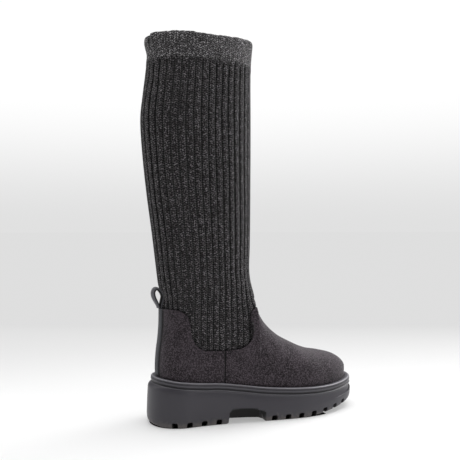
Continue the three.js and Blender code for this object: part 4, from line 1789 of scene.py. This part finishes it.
@dataclass
class SockLiner(Part):
    """Insole board and sock lining on the floor of the well."""

    samples: int = 160
    # distance in from the felt's plan and height above the well's floor; None is the middle line
    rows: Sequence[tuple] = (
        (None, 0.3), (3.4, 0.3), (3.4, 3.3), (3.8, 4.0), (4.6, 4.3), (14, 4.3), (None, 4.6),
    )

    def build(self) -> Piece:
        """Build the liner: the foot plan drawn in, with a rounded upper edge, crowned a little.

        Returns:
            The piece.
        """
        last = self.last
        angle = np.linspace(0, np.pi, self.samples)
        outer, inner = (last.outline(angle, sign) for sign in (-1, 1))
        line = np.concatenate([outer, inner[-2:0:-1]])
        along = unit(np.roll(line, -1, axis=0) - np.roll(line, 1, axis=0))
        inward = np.stack([-along[:, 1], along[:, 0]], axis=-1)
        middle = last.middle(line[:, 0])
        line = np.stack([line[:, 0], middle + (line[:, 1] - middle) * (1 - last.tuck_share)], axis=-1)
        centre = np.stack([np.clip(line[:, 0], 10, 190), middle], axis=-1)
        rows = []
        for depth, up in self.rows:
            flat = centre if depth is None else line + inward * depth
            rows.append(np.column_stack([flat, last.floor(flat[:, 0]) + up]))
        grid = np.stack(rows)
        u, v = (np.append(grid[..., k], grid[:, :1, k], axis=1) for k in (0, 1))
        return put_tube("sock_liner", grid, u, v)


# studio


@dataclass(frozen=True)
class Softbox:
    """One area light: where it stands, where it looks, its size and its power."""

    name: str
    place: tuple[float, float, float]
    aim: tuple[float, float, float]
    size: tuple[float, float]
    power: float

    def build(self) -> None:
        """Put the light in the scene."""
        data = bpy.data.lights.new(self.name, "AREA")
        data.shape = "RECTANGLE"
        data.size, data.size_y = self.size
        data.energy = self.power
        lamp = bpy.data.objects.new(self.name, data)
        lamp.location = self.place
        look = Vector(self.aim) - Vector(self.place)
        lamp.rotation_euler = look.to_track_quat("-Z", "Y").to_euler()
        bpy.context.scene.collection.objects.link(lamp)


@dataclass(frozen=True)
class Studio:
    """Pale floor, softboxes, world light and the camera of the photograph, in metres."""

    yaw: float = 22.0
    place: tuple[float, float, float] = (-0.2317, -0.7417, 0.235)
    lens: float = 48.91
    sensor: float = 36.0
    floor_half: float = 60.0
    # tone near the camera and far off, and the distances ahead of the boot between which it changes
    floor_albedo: tuple[float, float] = (0.55, 0.0)
    albedo_fade: tuple[float, float] = (-0.1, 0.8)
    floor_glow: tuple[float, float] = (0.33, 0.735)
    glow_fade: tuple[float, float] = (0.12, 0.72)
    # tone of the painted shadow under the sole
    painted_shadow_tone: float = 0.01
    ambient: float = 0.26
    horizon: float = 0.75
    sky: float = 1.02
    sky_from: float = 0.23
    lights: tuple[Softbox, ...] = (
        Softbox("right_box", (1.0, 0.15, 0.85), (0.05, 0, 0.25), (0.7, 1.3), 11.5),
        Softbox("left_box", (-0.95, 0.55, 0.75), (0.0, 0, 0.25), (0.6, 1.3), 3.0),
        Softbox("top_box", (0.15, 0.2, 1.4), (0.05, 0, 0), (1.3, 1.1), 21.0),
        Softbox("front_box", (0.95, -1.0, 0.6), (0.08, 0, 0.2), (0.8, 0.8), 3.0),
    )

    def build(self, painted_shadow_sheets: list[Array]) -> None:
        """Build the stage, the lights and the camera.

        Args:
            painted_shadow_sheets: where the sole keeps the light off the floor.
        """
        self.floor(painted_shadow_sheets)
        for box in self.lights:
            box.build()
        self.world()
        self.camera()

    def floor(self, painted_shadow_sheets: list[Array]) -> None:
        """Build the floor, with a painted shadow under the sole: dark and without glow there.

        Args:
            painted_shadow_sheets: where the sole keeps the light off the floor.
        """
        ends = np.array([-self.floor_half, self.floor_half]) / MM
        ground = np.stack([*np.meshgrid(ends, ends), np.zeros((2, 2))], axis=-1)
        points, faces = join((ground, False, False), *((sheet, False, False) for sheet in painted_shadow_sheets))
        shaded = np.where(np.arange(len(points)) < 4, 0.0, 1.0)
        floor = put("floor", points, faces, shaded, outward=False)
        s = Surface("pale_floor", 0.95, 0.0, 0.0)
        turn = math.radians(self.yaw)
        ahead = s.vector("DOT_PRODUCT", s.place(), (math.sin(turn), math.cos(turn), 0.0)).outputs["Value"]
        shade = s.hollow()
        albedo = s.mix(s.ramp(ahead, *self.albedo_fade), *map(grey, self.floor_albedo))
        glow = s.mix(s.ramp(ahead, *self.glow_fade), *map(grey, self.floor_glow))
        # painted shadow: the sheets under the sole are dark and give no glow
        s.feed(s.shader["Base Color"], s.mix(shade, albedo, grey(self.painted_shadow_tone)))
        s.feed(s.shader["Emission Color"], s.mix(shade, glow, grey(0.0)))
        s.shader["Emission Strength"].default_value = 1.0
        floor.data.materials.append(s.material)

    def camera(self) -> None:
        """Put the camera where the photograph was taken from."""
        data = bpy.data.cameras.new("camera")
        data.lens, data.sensor_width, data.sensor_fit = self.lens, self.sensor, "HORIZONTAL"
        camera = bpy.data.objects.new("camera", data)
        camera.location = self.place
        camera.rotation_euler = (math.pi / 2, 0, -math.radians(self.yaw))
        bpy.context.scene.collection.objects.link(camera)
        bpy.context.scene.camera = camera
        bpy.context.scene.view_settings.view_transform = "Standard"

    def world(self) -> None:
        """Even ambient light; seen by the camera it brightens from the horizon up to white."""
        world = bpy.data.worlds.new("studio")
        bpy.context.scene.world = world
        world.use_nodes = True
        w = Wiring(world.node_tree)
        even = world.node_tree.nodes["Background"]
        w.feed(even.inputs["Color"], grey(1.0))
        w.feed(even.inputs["Strength"], self.ambient)
        up = w.add("SeparateXYZ", {0: w.add("TexCoord").outputs["Generated"]}).outputs["Z"]
        sky = w.mix(w.ramp(up, 0.0, self.sky_from), grey(self.horizon), grey(self.sky))
        seen = w.add("Background", {"Color": sky, "Strength": 1.0})
        is_seen = w.add("LightPath").outputs["Is Camera Ray"]
        both = w.add("MixShader", {0: is_seen, 1: even.outputs[0], 2: seen.outputs[0]})
        w.feed(world.node_tree.nodes["World Output"].inputs[0], both.outputs[0])


def main() -> None:
    """Build and dress the boot, piece by piece."""
    logging.basicConfig(level=logging.INFO, format="%(message)s")
    last, ribs = Last(), Ribs()
    groups = Groups(flecks_group(), stitches_group(), nap_group(), dust_group())
    rib_knit = KnitFinish("rib_knit")
    cuff_knit = KnitFinish(
        "cuff_knit", base="4a4749", light="d2ced1", dark="080808", wale=0.35 / 56, relief=0.0024
    )
    lining = TapeFinish("insole_lining", base="333234", dark="1e1d1f", pitch=0.0016)
    stay_tape = TapeFinish("stay_tape", base="55565a")
    loop_tape = TapeFinish("loop_tape", base="717176", dark="18181a")
    sole = LugSole(last)
    sole.dress(RubberFinish("sole_rubber"), groups, "lug_sole")
    SockLiner(last).dress(lining, groups, "insole")
    FeltFoot(last).dress(FeltFinish("felt"), groups, "felt_foot")
    KnitShaft(last, ribs).dress(rib_knit, groups, "knit_shaft")
    KnitCuff(last, ribs).dress(cuff_knit, groups, "knit_cuff")
    BackStay(last).dress(stay_tape, groups, "back_stay")
    PullLoop(last).dress(loop_tape, groups, "pull_loop")
    Studio().build(sole.painted_shadow_sheets())


if __name__ == "__main__":
    main()
